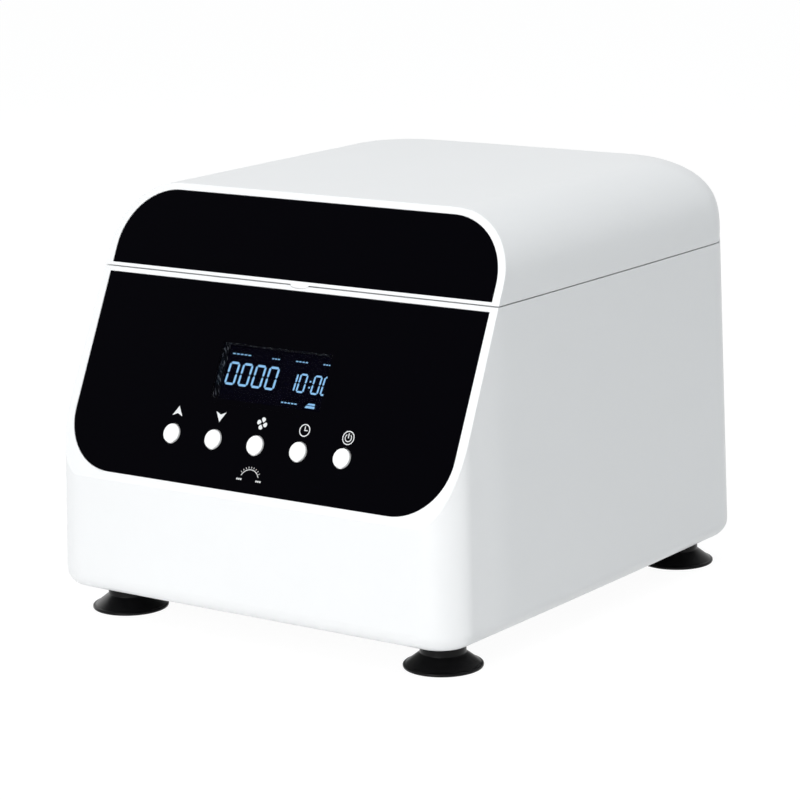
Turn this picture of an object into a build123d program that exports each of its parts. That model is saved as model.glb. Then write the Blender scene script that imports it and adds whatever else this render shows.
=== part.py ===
from build123d import *
from math import cos, radians, sin, sqrt, tan
import os

os.makedirs("parts", exist_ok=True)

# Low-speed bench centrifuge, in millimetres.
# +Z is up, -Y is the front with the sloped control panel, +X is the right side.
# The origin is on the bench, under the middle of the housing.

# Housing, outside
housing_width = 318.6
housing_depth = 360.0
overall_height = 277.8
ground_clearance = 19.0
seam_height = 222.5
seam_gap = 0.8
seam_setback = 61.0
front_slope = 25.1
side_draft = 1.14
front_draft = 1.1
rear_draft = 1.24
side_crown = 1.4
front_corner_radius = 24.0
rear_corner_radius = 36.0
bottom_round = 11.0

# Lid, outside
lid_side_round = 45.0
lid_rear_round = 28.0
lid_rear_drop = 26.0
lid_top_rise = 0.35
lid_band = 4.0
outer_steps = 7
inner_steps = 4
room_bevel = 4.0

# Walls and fits
wall = 3.0
floor = 5.0
front_wall = 4.5
deck = 3.0
fit = 0.3
running_fit = 0.05
past = 1.0

# Black overlays on the slope; heights are measured up the slope from the seam
panel_half_width = 148.8
panel_thickness = 1.5
panel_recess = 1.8
panel_top = -3.7
panel_bottom = -134.6
panel_corner = 38.4
lid_panel_bottom = 2.9
lid_panel_top = 54.6
lid_panel_corner = 41.0
notch_x = 5.0
notch_width = 14.0
notch_height = 3.6

# Display, buttons and board
display_width = 90.6
display_height = 41.6
display_x = 0.0
display_s = -59.5
display_lip = 0.8
display_depth = 8.0
display_rim = 1.2
module_margin = 4.0
button_radius = 6.5
button_pitch = 33.5
button_x = 0.5
button_s = -104.1
button_proud = 1.2
button_bevel = 0.6
button_flange = 1.4
button_flange_radius = 8.0
button_stem_radius = 2.0
button_travel = 1.0
board_width = 190.0
board_height = 92.0
board_s = -74.0
board_depth = 15.0
board_thickness = 1.6
board_corner = 5.0
pillar_radius = 3.5
switch_size = 6.0
switch_body_height = 3.4
plunger_radius = 1.7
plunger_height = 1.0

# Chamber and guard
chamber_y = 27.0
bowl_radius = 114.0
bowl_wall = 1.5
bowl_floor = 98.0
bowl_corner = 14.0
bowl_hole = 20.0
flange_width = 8.0
flange_thickness = 1.5
flange_edge = 0.75
gasket_width = 5.0
gasket_edge = 1.0
gasket_height = 2.6
gasket_bevel = 0.8
boot_bore = 14.0
boot_lip = 25.0
boot_lip_height = 2.2
boot_foot = 1.0
boot_waist = 2.0
guard_gap = 1.5
guard_wall = 2.5
guard_top = 208.0
arch_width = 44.0
arch_height = 30.0
arch_count = 4

# Base and feet
plate_thickness = 2.5
plate_margin = 14.0
plate_lip = 8.0
foot_radius = 25.0
foot_cone_height = 10.0
foot_rim = 1.0
foot_rim_width = 1.5
foot_throat_round = 2.0
foot_hollow = 6.0
foot_hollow_radius = 9.0
neck_radius = 14.0
foot_x = 125.1
foot_y = 141.0
stud_radius = 3.0
stud_length = 16.0
stud_seat = 1.0
nut_flat = 10.0
nut_thickness = 5.0
screw_radius = 1.5
screw_head = 3.0
screw_head_height = 1.8
screw_length = 10.0
screw_room = 1.0
boss_radius = 4.0
boss_height = 14.0
side_screw_y = 70.0
end_screw_x = 100.0
plate_corner = 18.0
plate_slot_count = 9
plate_slot_pitch = 9.0
plate_slot_length = 60.0
plate_slot_width = 3.5
plate_slot_y = 140.0

# Drive
shaft_radius = 6.0
thread_radius = 4.0
thread_bottom = 162.0
thread_top = 181.0
motor_radius = 46.0
motor_wall = 3.0
motor_bottom = 47.5
motor_top = 92.0
motor_plate_radius = 84.0
motor_plate_thickness = 4.0
motor_plate_hole = 9.0
mount_radius = 12.0
mount_edge = 4.0
mount_bevel = 2.0
mount_count = 3
bearing_radius = 14.0
bearing_width = 8.0
bearing_lower = 49.5
bearing_upper = 82.0
bearing_seat_wall = 3.0
motor_floor = 2.0
motor_cap_height = 4.0
motor_cap_roof = 1.0
motor_cap_lip = 3.0
stator_bore = 27.0
stator_bottom = 60.0
stator_height = 20.0
magnet_gap = 0.6
winding_height = 5.0
winding_margin = 2.0
winding_bevel = 2.0
shaft_bevel = 0.8

# Rotor
tube_count = 8
tube_angle = 35.0
tube_bore = 8.7
sleeve_wall = 1.3
sleeve_length = 78.0
sleeve_floor = 1.5
sleeve_lip = 11.5
lip_height = 1.5
sleeve_fit = 0.1
sleeve_tip_height = 112.0
rotor_wall = 3.0
rotor_gap = 17.8
rotor_edge = 1.0
disc_thickness = 12.0
hub_radius = 20.0
hub_bottom = 108.0
dish_radius = 30.0
web_bottom = 150.0
cone_bottom = 104.0
cone_low_radius = 13.0
cone_high_radius = 10.0
nut_radius = 19.0
nut_height = 17.0
nut_flutes = 12
flute_radius = 2.5
nut_roof = 3.0
nut_bevel = 1.0

# Hinge and lid lock
hinge_x = 95.0
hinge_width = 44.0
hinge_knuckle = 16.0
knuckle_radius = 3.5
knuckle_proud = 0.5
pin_radius = 1.5
leaf_thickness = 2.0
body_leaf_height = 26.0
lid_leaf_height = 14.5
leaf_screw_x = 14.0
body_screw_drop = 18.0
lid_screw_rise = 9.0
leaf_screw_head = 2.5
leaf_screw_head_height = 0.9
leaf_screw_length = 5.0
pad_thickness = 6.0
pad_margin = 3.0
body_pad_height = 32.0
lid_pad_height = 20.0
knuckle_room = 0.6
strike_width = 12.0
strike_thickness = 2.5
strike_tip = 6.0
strike_flange = 24.0
strike_flange_thickness = 1.5
slot_room = 2.0
bolt_radius = 2.5
bolt_rest_x = 5.0
bolt_length = 34.0
cheek_gap = 9.0
cheek_thickness = 2.0
cheek_drop = 5.0
bracket_thickness = 2.0
bracket_left = -24.0
bracket_right = 48.0
bracket_edge = 2.0
solenoid_x = 16.0
solenoid_length = 30.0
solenoid_size = 18.0
solenoid_round = 1.5
bolt_bevel = 0.8
sensor_x = -17.0
sensor_size = 10.0
sensor_pin = 1.5

# Mains inlet, switch and vents on the back
back_z = 72.0
back_depth = 3.5
pocket_width = 92.0
pocket_height = 44.0
pocket_x = -76.0
inlet_x = -94.0
inlet_width = 27.0
inlet_height = 20.0
inlet_flange = 2.0
inlet_body = 24.0
inlet_lip = 2.0
inlet_round = 2.0
socket_width = 23.0
socket_height = 15.5
socket_depth = 19.0
socket_cut = 4.0
pin_length = 13.0
pin_width = 2.0
pin_height = 4.0
pin_pitch = 7.0
earth_rise = 2.0
switch_x = -56.0
switch_width = 13.0
switch_tall = 19.0
switch_body = 20.0
switch_flange = 1.5
switch_lip = 1.5
switch_round = 1.0
rocker_room = 1.5
rocker_half = 7.2
rocker_width = 10.0
rocker_gap = 1.1
rocker_pivot_depth = 3.5
rocker_low = 4.0
rocker_crest = 2.2
rocker_tilt = 8.0
rocker_pin = 1.0
rocker_pin_length = 1.0
vent_x = 62.0
vent_count = 9
vent_pitch = 8.0
vent_width = 3.2
vent_height = 36.0
pocket_corner = 5.0
pocket_margin = 3.0

# Supply board
supply_width = 150.0
supply_length = 60.0
supply_y = -127.0
supply_thickness = 1.6
standoff_height = 8.0
standoff_radius = 3.0
standoff_corner = 5.0
transformer_x = -42.0
transformer_width = 50.0
transformer_length = 45.0
transformer_height = 40.0
core_height = 22.0
core_margin = 6.0
core_round = 1.5
capacitor_radius = 9.0
capacitor_height = 30.0
capacitor_x = 12.0
capacitor_pitch = 22.0
capacitor_bevel = 1.0
capacitor_count = 3
capacitor_y = -142.0
heatsink_x = 38.0
heatsink_y = -111.0
heatsink_width = 60.0
heatsink_depth = 14.0
heatsink_height = 30.0
heatsink_web = 3.0
fin_count = 9
fin_thickness = 1.8

# Lid liner
liner_thickness = 4.0
dish_edge = 5.5
dish_recess_height = 13.0
dish_wall = 2.5
groove_edge = 1.0
groove_depth = 2.1
post_radius = 5.0
post_height = 10.0
post_inset = 7.3
post_rows = (-80.0, 25.0, 130.0)
lid_head_depth = 2.0

# Worked out from the sizes above
body_top = seam_height - seam_gap / 2
lid_bottom = seam_height + seam_gap / 2
slope_cos = cos(radians(front_slope))
slope_sin = sin(radians(front_slope))
slope_tan = tan(radians(front_slope))
seam_y = -housing_depth / 2 + seam_setback
lid_top_round = lid_side_round * slope_cos
lid_front_y = seam_y + lid_side_round / 2
lid_top_run = housing_depth / 2 - lid_rear_round - lid_front_y
lid_front_height = overall_height - lid_top_run * tan(radians(lid_top_rise))
plate_top = ground_clearance + plate_thickness
flange_radius = bowl_radius + flange_width
gasket_outer = flange_radius - gasket_edge
gasket_inner = gasket_outer - gasket_width
dish_recess_radius = bowl_radius - dish_edge
mount_circle = motor_plate_radius - mount_radius - mount_edge
slope = Plane(origin=(0, seam_y, seam_height), x_dir=(1, 0, 0), z_dir=(0, -slope_cos, slope_sin))
upright = Plane(origin=(0, chamber_y, 0), x_dir=(1, 0, 0), z_dir=(0, -1, 0))
spindle = Axis((0, chamber_y, 0), (0, 0, 1))


def half_width(height):
    return housing_width / 2 - (height - ground_clearance) * tan(radians(side_draft))


def front_edge(height):
    return -housing_depth / 2 + (height - ground_clearance) * tan(radians(front_draft))


def rear_edge(height):
    return housing_depth / 2 - (height - ground_clearance) * tan(radians(rear_draft))


def slope_y(height, depth=0.0):
    """Y of the sloped front at one height, at a depth behind its surface."""
    return seam_y - (seam_height - height) * slope_tan + depth / slope_cos


def plan_outline(height, inset=0.0, side_in=0.0, rear_in=0.0, rise=0.0):
    """Plan of the housing at one height: crowned sides and four rounded corners."""
    half = half_width(height) - inset - side_in
    end = half - side_crown
    front = front_edge(height) + inset - lid_front_y
    rear = rear_edge(height) - inset - rear_in - lid_front_y
    middle = (front + rear) / 2
    level = Plane(
        origin=(0, lid_front_y, height),
        x_dir=(1, 0, 0),
        z_dir=(0, -sin(radians(rise)), cos(radians(rise))),
    )
    with BuildSketch(level) as outline:
        with BuildLine():
            Line((-end, front), (end, front))
            ThreePointArc((end, front), (half, middle), (end, rear))
            Line((end, rear), (-end, rear))
            ThreePointArc((-end, rear), (-half, middle), (-end, front))
        make_face()
        fillet(vertices().group_by(Axis.Y)[0], front_corner_radius - inset)
        fillet(vertices().group_by(Axis.Y)[-1], rear_corner_radius - inset)
    return outline.sketch


def lid_sections(steps, inset=0.0, start=lid_bottom):
    """Plans of the lid from the seam up over its rounded shoulders to the top."""
    drop = lid_top_round - inset
    turn = lid_front_height - lid_top_round
    sections = [plan_outline(start, inset), plan_outline(turn - lid_band, inset)]
    for step in range(steps + 1):
        angle = 90 * step / steps
        height = turn + drop * sin(radians(angle))
        side_in = (lid_side_round - inset) * (1 - cos(radians(angle)))
        rear_drop = lid_rear_drop - inset
        turned = max(0.0, 1 - (turn + drop - height) / rear_drop)
        rear_in = (lid_rear_round - inset) * (1 - sqrt(1 - turned**2))
        sections.append(plan_outline(height, inset, side_in, rear_in, lid_top_rise * angle / 90))
    return sections


def save(piece, name):
    piece.part.label = name
    export_step(piece.part, f"parts/{name}.step")


def slope_outline(low, high, half, radius, corners_at):
    """Rectangle on the slope between two heights, rounded at its bottom or top corners."""
    with BuildSketch() as outline:
        with Locations((0, (low + high) / 2)):
            Rectangle(2 * half, high - low)
        fillet(vertices().group_by(Axis.Y)[corners_at], radius)
    return outline.sketch


def corner(shape, x, y):
    """Corner of a flat section that lies nearest to a point."""
    return shape.vertices().sort_by_distance((x, y, 0))[0]


def tube_section(outer, inner, low, high):
    """Section of an upright tube, to be turned about an upright axis."""
    with BuildSketch() as section:
        with Locations(((outer + inner) / 2, (low + high) / 2)):
            Rectangle(outer - inner, high - low)
    return section.sketch


# Places that several pieces share
button_places = [(button_x + (i - 2) * button_pitch, button_s) for i in range(5)]
foot_places = [(x, y) for x in (-foot_x, foot_x) for y in (-foot_y, foot_y)]
board_corners = [
    (x, board_s + y)
    for x in (-board_width / 2 + board_corner, board_width / 2 - board_corner)
    for y in (-board_height / 2 + board_corner, board_height / 2 - board_corner)
]
plate_half_width = half_width(ground_clearance) - plate_margin
plate_front = front_edge(ground_clearance) + plate_margin
plate_rear = rear_edge(ground_clearance) - plate_margin
plate_middle = (plate_front + plate_rear) / 2
plate_length = plate_rear - plate_front
side_screw_x = plate_half_width - plate_lip / 2
end_screw_y = plate_length / 2 - plate_lip / 2
base_screw_places = [
    (side * x, plate_middle + end * y)
    for x, y in ((side_screw_x, side_screw_y), (end_screw_x, end_screw_y))
    for side in (-1, 1)
    for end in (-1, 1)
]
hinge_spots = (-hinge_x, hinge_x)
hinge_y = rear_edge(seam_height) + knuckle_proud
leaf_y = hinge_y - knuckle_radius
panel_shape = slope_outline(panel_bottom, panel_top, panel_half_width, panel_corner, 0)
panel_pocket = slope_outline(
    panel_bottom - fit, panel_top + fit, panel_half_width + fit, panel_corner + fit, 0
)
lid_panel_shape = slope_outline(
    lid_panel_bottom, lid_panel_top, panel_half_width, lid_panel_corner, -1
)
lid_panel_pocket = slope_outline(
    lid_panel_bottom - fit, lid_panel_top + fit, panel_half_width + fit, lid_panel_corner + fit, -1
)
bracket_width = strike_width + 2 * slot_room + 2 * bracket_edge
strike_y = slope_y(body_top, front_wall) + bracket_width / 2
deck_under = body_top - deck
bolt_height = deck_under - bracket_thickness - solenoid_size / 2
strike_bottom = bolt_height - strike_tip
liner_top = lid_bottom + liner_thickness
leaf_screw_places = [(x + dx) for x in hinge_spots for dx in (-leaf_screw_x, leaf_screw_x)]
wall_y = rear_edge(back_z) - back_depth
supply_bottom = plate_top + standoff_height
supply_top = supply_bottom + supply_thickness

# Tube axis in the rotor's section: from the tip of a sleeve up to its mouth
tilt_sin = sin(radians(tube_angle))
tilt_cos = cos(radians(tube_angle))
hole_radius = tube_bore + sleeve_wall + sleeve_fit
rotor_reach = hole_radius + rotor_wall
sleeve_tip_radius = bowl_radius - rotor_gap - (tube_bore + sleeve_wall) * tilt_cos


def on_tube(along, across=0.0):
    """Point in the rotor's section, along a tube from its tip and across it."""
    return (
        sleeve_tip_radius - along * tilt_sin + across * tilt_cos,
        sleeve_tip_height + along * tilt_cos + across * tilt_sin,
    )


mouth = sleeve_length + lip_height
mouth_point = on_tube(mouth)
dish_floor = mouth_point[1] - (mouth_point[0] - dish_radius) * tilt_sin / tilt_cos
disc_under = on_tube(mouth - disc_thickness)
hub_top = disc_under[1] - (disc_under[0] - hub_radius) * tilt_sin / tilt_cos

# Housing: outer form, and the room inside it
with BuildPart() as housing_form:
    loft([plan_outline(ground_clearance), plan_outline(body_top)], ruled=True)
    split(bisect_by=slope, keep=Keep.BOTTOM)
    fillet(edges().group_by(Axis.Z)[0], bottom_round)

with BuildPart() as housing_room:
    loft([plan_outline(ground_clearance + floor, wall), plan_outline(deck_under, wall)], ruled=True)
    split(bisect_by=slope.offset(-front_wall), keep=Keep.BOTTOM)
    chamfer(edges().group_by(Axis.Z)[0], room_bevel)

with BuildPart() as housing_shell:
    add(housing_form.part)
    add(housing_room.part, mode=Mode.SUBTRACT)
    # Pads inside the back wall, behind the hinges and behind the mains pocket
    with BuildSketch(Plane.XZ.offset(pad_thickness - leaf_y)):
        with Locations([(x, body_top - body_pad_height / 2) for x in hinge_spots]):
            Rectangle(hinge_width + 2 * pad_margin, body_pad_height)
    extrude(amount=-pad_thickness - leaf_thickness)
    with BuildSketch(Plane.XZ.offset(wall - wall_y)):
        with Locations((pocket_x, back_z)):
            Rectangle(pocket_width + 2 * pocket_margin, pocket_height + 2 * pocket_margin)
    extrude(amount=-wall - back_depth / 2)
    # Screw bosses over the base plate, and pillars for the control board
    with BuildSketch(Plane.XY.offset(plate_top)):
        with Locations(base_screw_places):
            Circle(boss_radius)
    extrude(amount=boss_height)
    with BuildSketch(slope.offset(-board_depth)):
        with Locations(board_corners):
            Circle(pillar_radius)
    extrude(amount=board_depth - front_wall / 2)
    # Chamber opening with the rebate for the bowl's flange
    with BuildSketch(Plane.XY.offset(body_top)):
        with Locations((0, chamber_y)):
            Circle(flange_radius + fit)
    extrude(amount=-flange_thickness, mode=Mode.SUBTRACT)
    with BuildSketch(Plane.XY.offset(body_top)):
        with Locations((0, chamber_y)):
            Circle(bowl_radius + bowl_wall + fit)
    extrude(amount=-2 * deck, mode=Mode.SUBTRACT)
    # Slot for the lid's strike
    with BuildSketch(Plane.XY.offset(body_top)):
        with Locations((0, strike_y)):
            RectangleRounded(strike_thickness + 2 * slot_room, strike_width + 2 * slot_room, slot_room)
    extrude(amount=-2 * deck, mode=Mode.SUBTRACT)
    # Seat of the black overlay, with the display and button openings through the wall
    with BuildSketch(slope.offset(-panel_recess)):
        add(panel_pocket)
    extrude(amount=2 * panel_recess, mode=Mode.SUBTRACT)
    with BuildSketch(slope.offset(-panel_recess - fit)):
        with Locations((notch_x, 0)):
            Ellipse(notch_width / 2 + fit, notch_height / 2 + fit)
    extrude(amount=2 * panel_recess, mode=Mode.SUBTRACT)
    with BuildSketch(slope):
        with Locations((display_x, display_s)):
            Rectangle(display_width - 2 * display_lip, display_height - 2 * display_lip)
        with Locations(button_places):
            Circle(button_radius + fit)
    extrude(amount=-front_wall - past, mode=Mode.SUBTRACT)
    # Bottom opening with the rebate for the base plate
    with BuildSketch(Plane.XY.offset(ground_clearance)):
        with Locations((0, plate_middle)):
            RectangleRounded(
                2 * plate_half_width + 2 * fit, plate_length + 2 * fit, plate_corner + fit
            )
    extrude(amount=plate_thickness, mode=Mode.SUBTRACT)
    with BuildSketch(Plane.XY.offset(ground_clearance)):
        with Locations((0, plate_middle)):
            RectangleRounded(
                2 * (plate_half_width - plate_lip),
                plate_length - 2 * plate_lip,
                plate_corner - plate_lip,
            )
    extrude(amount=floor, mode=Mode.SUBTRACT)
    with BuildSketch(Plane.XY.offset(ground_clearance)):
        with Locations(base_screw_places):
            Circle(screw_radius + running_fit)
    extrude(amount=plate_thickness + screw_length, mode=Mode.SUBTRACT)
    # Hinge seats in the back wall, with room for the knuckles and the leaf screws
    with BuildSketch(Plane.XZ.offset(-leaf_y)):
        with Locations([(x, body_top) for x in hinge_spots]):
            Rectangle(hinge_width + 2 * fit, 2 * body_leaf_height + 2 * fit)
    extrude(amount=-pad_thickness, mode=Mode.SUBTRACT)
    with Locations([(x, hinge_y, seam_height) for x in hinge_spots]):
        Cylinder(
            knuckle_radius + knuckle_room,
            hinge_width + 2 * fit,
            rotation=(0, 90, 0),
            mode=Mode.SUBTRACT,
        )
    with BuildSketch(Plane.XZ.offset(-leaf_y)):
        with Locations([(x, seam_height - body_screw_drop) for x in leaf_screw_places]):
            Circle(screw_radius + running_fit)
    extrude(amount=leaf_screw_length, mode=Mode.SUBTRACT)
    # Mains pocket, its two openings and the air slots beside it
    with BuildSketch(Plane.XZ.offset(-wall_y)):
        with Locations((pocket_x, back_z)):
            RectangleRounded(pocket_width, pocket_height, pocket_corner)
    extrude(amount=-2 * back_depth, mode=Mode.SUBTRACT)
    with BuildSketch(Plane.XZ.offset(-wall_y)):
        with Locations((inlet_x, back_z)):
            Rectangle(inlet_width, inlet_height)
        with Locations((switch_x, back_z)):
            Rectangle(switch_width, switch_tall)
    extrude(amount=2 * wall, mode=Mode.SUBTRACT)
    with BuildSketch(Plane.XZ.offset(-wall_y)):
        with Locations((vent_x, back_z)):
            with GridLocations(vent_pitch, 1, vent_count, 1):
                SlotOverall(vent_height, vent_width, rotation=90)
    extrude(amount=3 * wall, both=True, mode=Mode.SUBTRACT)

save(housing_shell, "housing_shell")

# Base plate with its air slots, screws, feet and studs
with BuildPart() as base_plate:
    with BuildSketch(Plane.XY.offset(ground_clearance)):
        with Locations((0, plate_middle)):
            RectangleRounded(2 * plate_half_width, plate_length, plate_corner)
        with Locations(base_screw_places):
            Circle(screw_radius + running_fit, mode=Mode.SUBTRACT)
        with Locations(foot_places):
            Circle(stud_radius + running_fit, mode=Mode.SUBTRACT)
        with Locations((0, plate_slot_y), (0, -plate_slot_y)):
            with GridLocations(plate_slot_pitch, 1, plate_slot_count, 1):
                SlotOverall(
                    plate_slot_length / 2, plate_slot_width, rotation=90, mode=Mode.SUBTRACT
                )
    extrude(amount=plate_thickness)

save(base_plate, "base_plate")

with BuildPart() as base_screws:
    with BuildSketch(Plane.XY.offset(ground_clearance - screw_head_height)):
        with Locations(base_screw_places):
            Circle(screw_head)
    extrude(amount=screw_head_height)
    with BuildSketch(Plane.XY.offset(ground_clearance)):
        with Locations(base_screw_places):
            Circle(screw_radius)
    extrude(amount=plate_thickness + screw_length - screw_room)

save(base_screws, "base_screws")

foot_planes = [Plane(origin=(x, y, 0), x_dir=(1, 0, 0), z_dir=(0, -1, 0)) for x, y in foot_places]

with BuildPart() as suction_feet:
    for section in foot_planes:
        with BuildSketch(section) as foot_section:
            with BuildLine():
                Polyline(
                    (stud_radius + running_fit, ground_clearance),
                    (neck_radius, ground_clearance),
                    (neck_radius, foot_cone_height),
                    (foot_radius, foot_rim),
                    (foot_radius, 0),
                    (foot_radius - foot_rim_width, 0),
                    (foot_hollow_radius, foot_hollow),
                    (0, foot_hollow),
                    (0, foot_cone_height),
                    (stud_radius + running_fit, foot_cone_height),
                    close=True,
                )
            make_face()
            fillet(corner(foot_section, neck_radius, foot_cone_height), foot_throat_round)
        revolve(axis=Axis(section.origin, (0, 0, 1)))

save(suction_feet, "suction_feet")

with BuildPart() as foot_studs:
    with BuildSketch(Plane.XY.offset(foot_cone_height + stud_seat)):
        with Locations(foot_places):
            Circle(stud_radius)
    extrude(amount=stud_length)
    with BuildSketch(Plane.XY.offset(plate_top)):
        with Locations(foot_places):
            RegularPolygon(nut_flat / 2, 6, major_radius=False)
    extrude(amount=nut_thickness)

save(foot_studs, "foot_studs")

# Chamber: bowl, its gasket, the guard ring round it and the boot at the shaft
with BuildPart() as chamber_bowl:
    with BuildSketch(upright) as bowl_section:
        with BuildLine():
            Polyline(
                (bowl_hole, bowl_floor - bowl_wall),
                (bowl_radius + bowl_wall, bowl_floor - bowl_wall),
                (bowl_radius + bowl_wall, body_top - flange_thickness),
                (flange_radius, body_top - flange_thickness),
                (flange_radius, body_top),
                (bowl_radius, body_top),
                (bowl_radius, bowl_floor),
                (bowl_hole, bowl_floor),
                close=True,
            )
        make_face()
        fillet(corner(bowl_section, bowl_radius, bowl_floor), bowl_corner)
        outside = corner(bowl_section, bowl_radius + bowl_wall, bowl_floor - bowl_wall)
        fillet(outside, bowl_corner + bowl_wall)
        chamfer(corner(bowl_section, bowl_radius, body_top), flange_edge)
    revolve(axis=spindle)

save(chamber_bowl, "chamber_bowl")

with BuildPart() as chamber_gasket:
    with BuildSketch(upright) as gasket_section:
        add(tube_section(gasket_outer, gasket_inner, body_top, body_top + gasket_height))
        chamfer(gasket_section.vertices().group_by(Axis.Y)[-1], gasket_bevel)
    revolve(axis=spindle)

save(chamber_gasket, "chamber_gasket")

guard_inner = bowl_radius + bowl_wall + guard_gap
guard_outer = guard_inner + guard_wall
with BuildPart() as guard_ring:
    with BuildSketch(upright):
        add(tube_section(guard_outer, guard_inner, plate_top, guard_top))
    revolve(axis=spindle)
    with Locations((0, chamber_y, plate_top)):
        with PolarLocations(0, arch_count // 2):
            Box(2 * guard_outer + past, arch_width, 2 * arch_height, mode=Mode.SUBTRACT)

save(guard_ring, "guard_ring")

boot_groove = bowl_floor - bowl_wall
with BuildPart() as shaft_boot:
    with BuildSketch(upright):
        with BuildLine():
            Polyline(
                (boot_bore, motor_top),
                (bowl_hole + boot_foot, motor_top),
                (bowl_hole - boot_waist, motor_top + boot_lip_height / 2),
                (boot_lip, boot_groove - boot_lip_height / 2),
                (boot_lip, boot_groove),
                (bowl_hole - fit, boot_groove),
                (bowl_hole - fit, bowl_floor),
                (boot_lip, bowl_floor),
                (bowl_hole - fit, bowl_floor + boot_lip_height),
                (boot_bore, bowl_floor + boot_lip_height),
                close=True,
            )
        make_face()
    revolve(axis=spindle)

save(shaft_boot, "shaft_boot")

# Front: overlay, display, control board with its switches, and the five buttons
with BuildPart() as control_panel:
    with BuildSketch(slope.offset(-panel_recess)):
        add(panel_shape)
        with Locations((display_x, display_s)):
            Rectangle(display_width + fit, display_height + fit, mode=Mode.SUBTRACT)
        with Locations(button_places):
            Circle(button_radius + fit, mode=Mode.SUBTRACT)
    extrude(amount=panel_thickness)

save(control_panel, "control_panel")

with BuildPart() as display_window:
    with BuildSketch(slope.offset(-panel_recess)):
        with Locations((display_x, display_s)):
            Rectangle(display_width - fit, display_height - fit)
    extrude(amount=panel_thickness)

save(display_window, "display_window")

rim_width = display_width - 2 * display_lip - 2 * fit
rim_height = display_height - 2 * display_lip - 2 * fit
with BuildPart() as display_module:
    with BuildSketch(slope.offset(-board_depth)):
        with Locations((display_x, display_s)):
            Rectangle(display_width + 2 * module_margin, display_height + 2 * module_margin)
    extrude(amount=board_depth - front_wall - fit)
    # Rim that stands in the wall's opening up to the window, round the sunk face
    with BuildSketch(slope.offset(-front_wall - fit)):
        with Locations((display_x, display_s)):
            Rectangle(rim_width, rim_height)
    extrude(amount=front_wall - panel_recess)
    with BuildSketch(slope.offset(-display_depth)):
        with Locations((display_x, display_s)):
            Rectangle(rim_width - 2 * display_rim, rim_height - 2 * display_rim)
    extrude(amount=display_depth, mode=Mode.SUBTRACT)

save(display_module, "display_module")

with BuildPart() as control_board:
    with BuildSketch(slope.offset(-board_depth - board_thickness)):
        with Locations((0, board_s)):
            Rectangle(board_width, board_height)
        with Locations(board_corners):
            Circle(screw_radius, mode=Mode.SUBTRACT)
    extrude(amount=board_thickness)

save(control_board, "control_board")

with BuildPart() as tact_switches:
    with BuildSketch(slope.offset(-board_depth)):
        with Locations(button_places):
            Rectangle(switch_size, switch_size)
    extrude(amount=switch_body_height)
    with BuildSketch(slope.offset(-board_depth + switch_body_height)):
        with Locations(button_places):
            Circle(plunger_radius)
    extrude(amount=plunger_height)

save(tact_switches, "tact_switches")

flange_top = -front_wall - fit
stem_end = -board_depth + switch_body_height + plunger_height + button_travel + fit


def push_button(place):
    """Button turned about its own axis: bevelled cap, flange behind the wall, and stem."""
    middle = slope.from_local_coords((place[0], place[1], 0))
    section = Plane(origin=middle, x_dir=(1, 0, 0), z_dir=(0, -slope_sin, -slope_cos))
    with BuildPart() as button:
        with BuildSketch(section):
            with BuildLine():
                Polyline(
                    (0, button_proud),
                    (button_radius - button_bevel, button_proud),
                    (button_radius, button_proud - button_bevel),
                    (button_radius, flange_top),
                    (button_flange_radius, flange_top),
                    (button_flange_radius, flange_top - button_flange),
                    (button_stem_radius, flange_top - button_flange),
                    (button_stem_radius, stem_end),
                    (0, stem_end),
                    close=True,
                )
            make_face()
        revolve(axis=Axis(middle, (0, -slope_cos, slope_sin)))
    return button


button_up = push_button(button_places[0])
button_down = push_button(button_places[1])
button_speed = push_button(button_places[2])
button_time = push_button(button_places[3])
button_power = push_button(button_places[4])

save(button_up, "button_up")
save(button_down, "button_down")
save(button_speed, "button_speed")
save(button_time, "button_time")
save(button_power, "button_power")

# Lid: outer form, the room inside it, overlay and liner
with BuildPart() as lid_form:
    loft(lid_sections(outer_steps))
    split(bisect_by=slope, keep=Keep.BOTTOM)

with BuildPart() as lid_room:
    loft(lid_sections(inner_steps, wall, lid_bottom - past), ruled=True)
    split(bisect_by=slope.offset(-front_wall), keep=Keep.BOTTOM)

post_x = half_width(lid_bottom) - post_inset
lid_screw_places = [(side * post_x, y) for side in (-1, 1) for y in post_rows]

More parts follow.
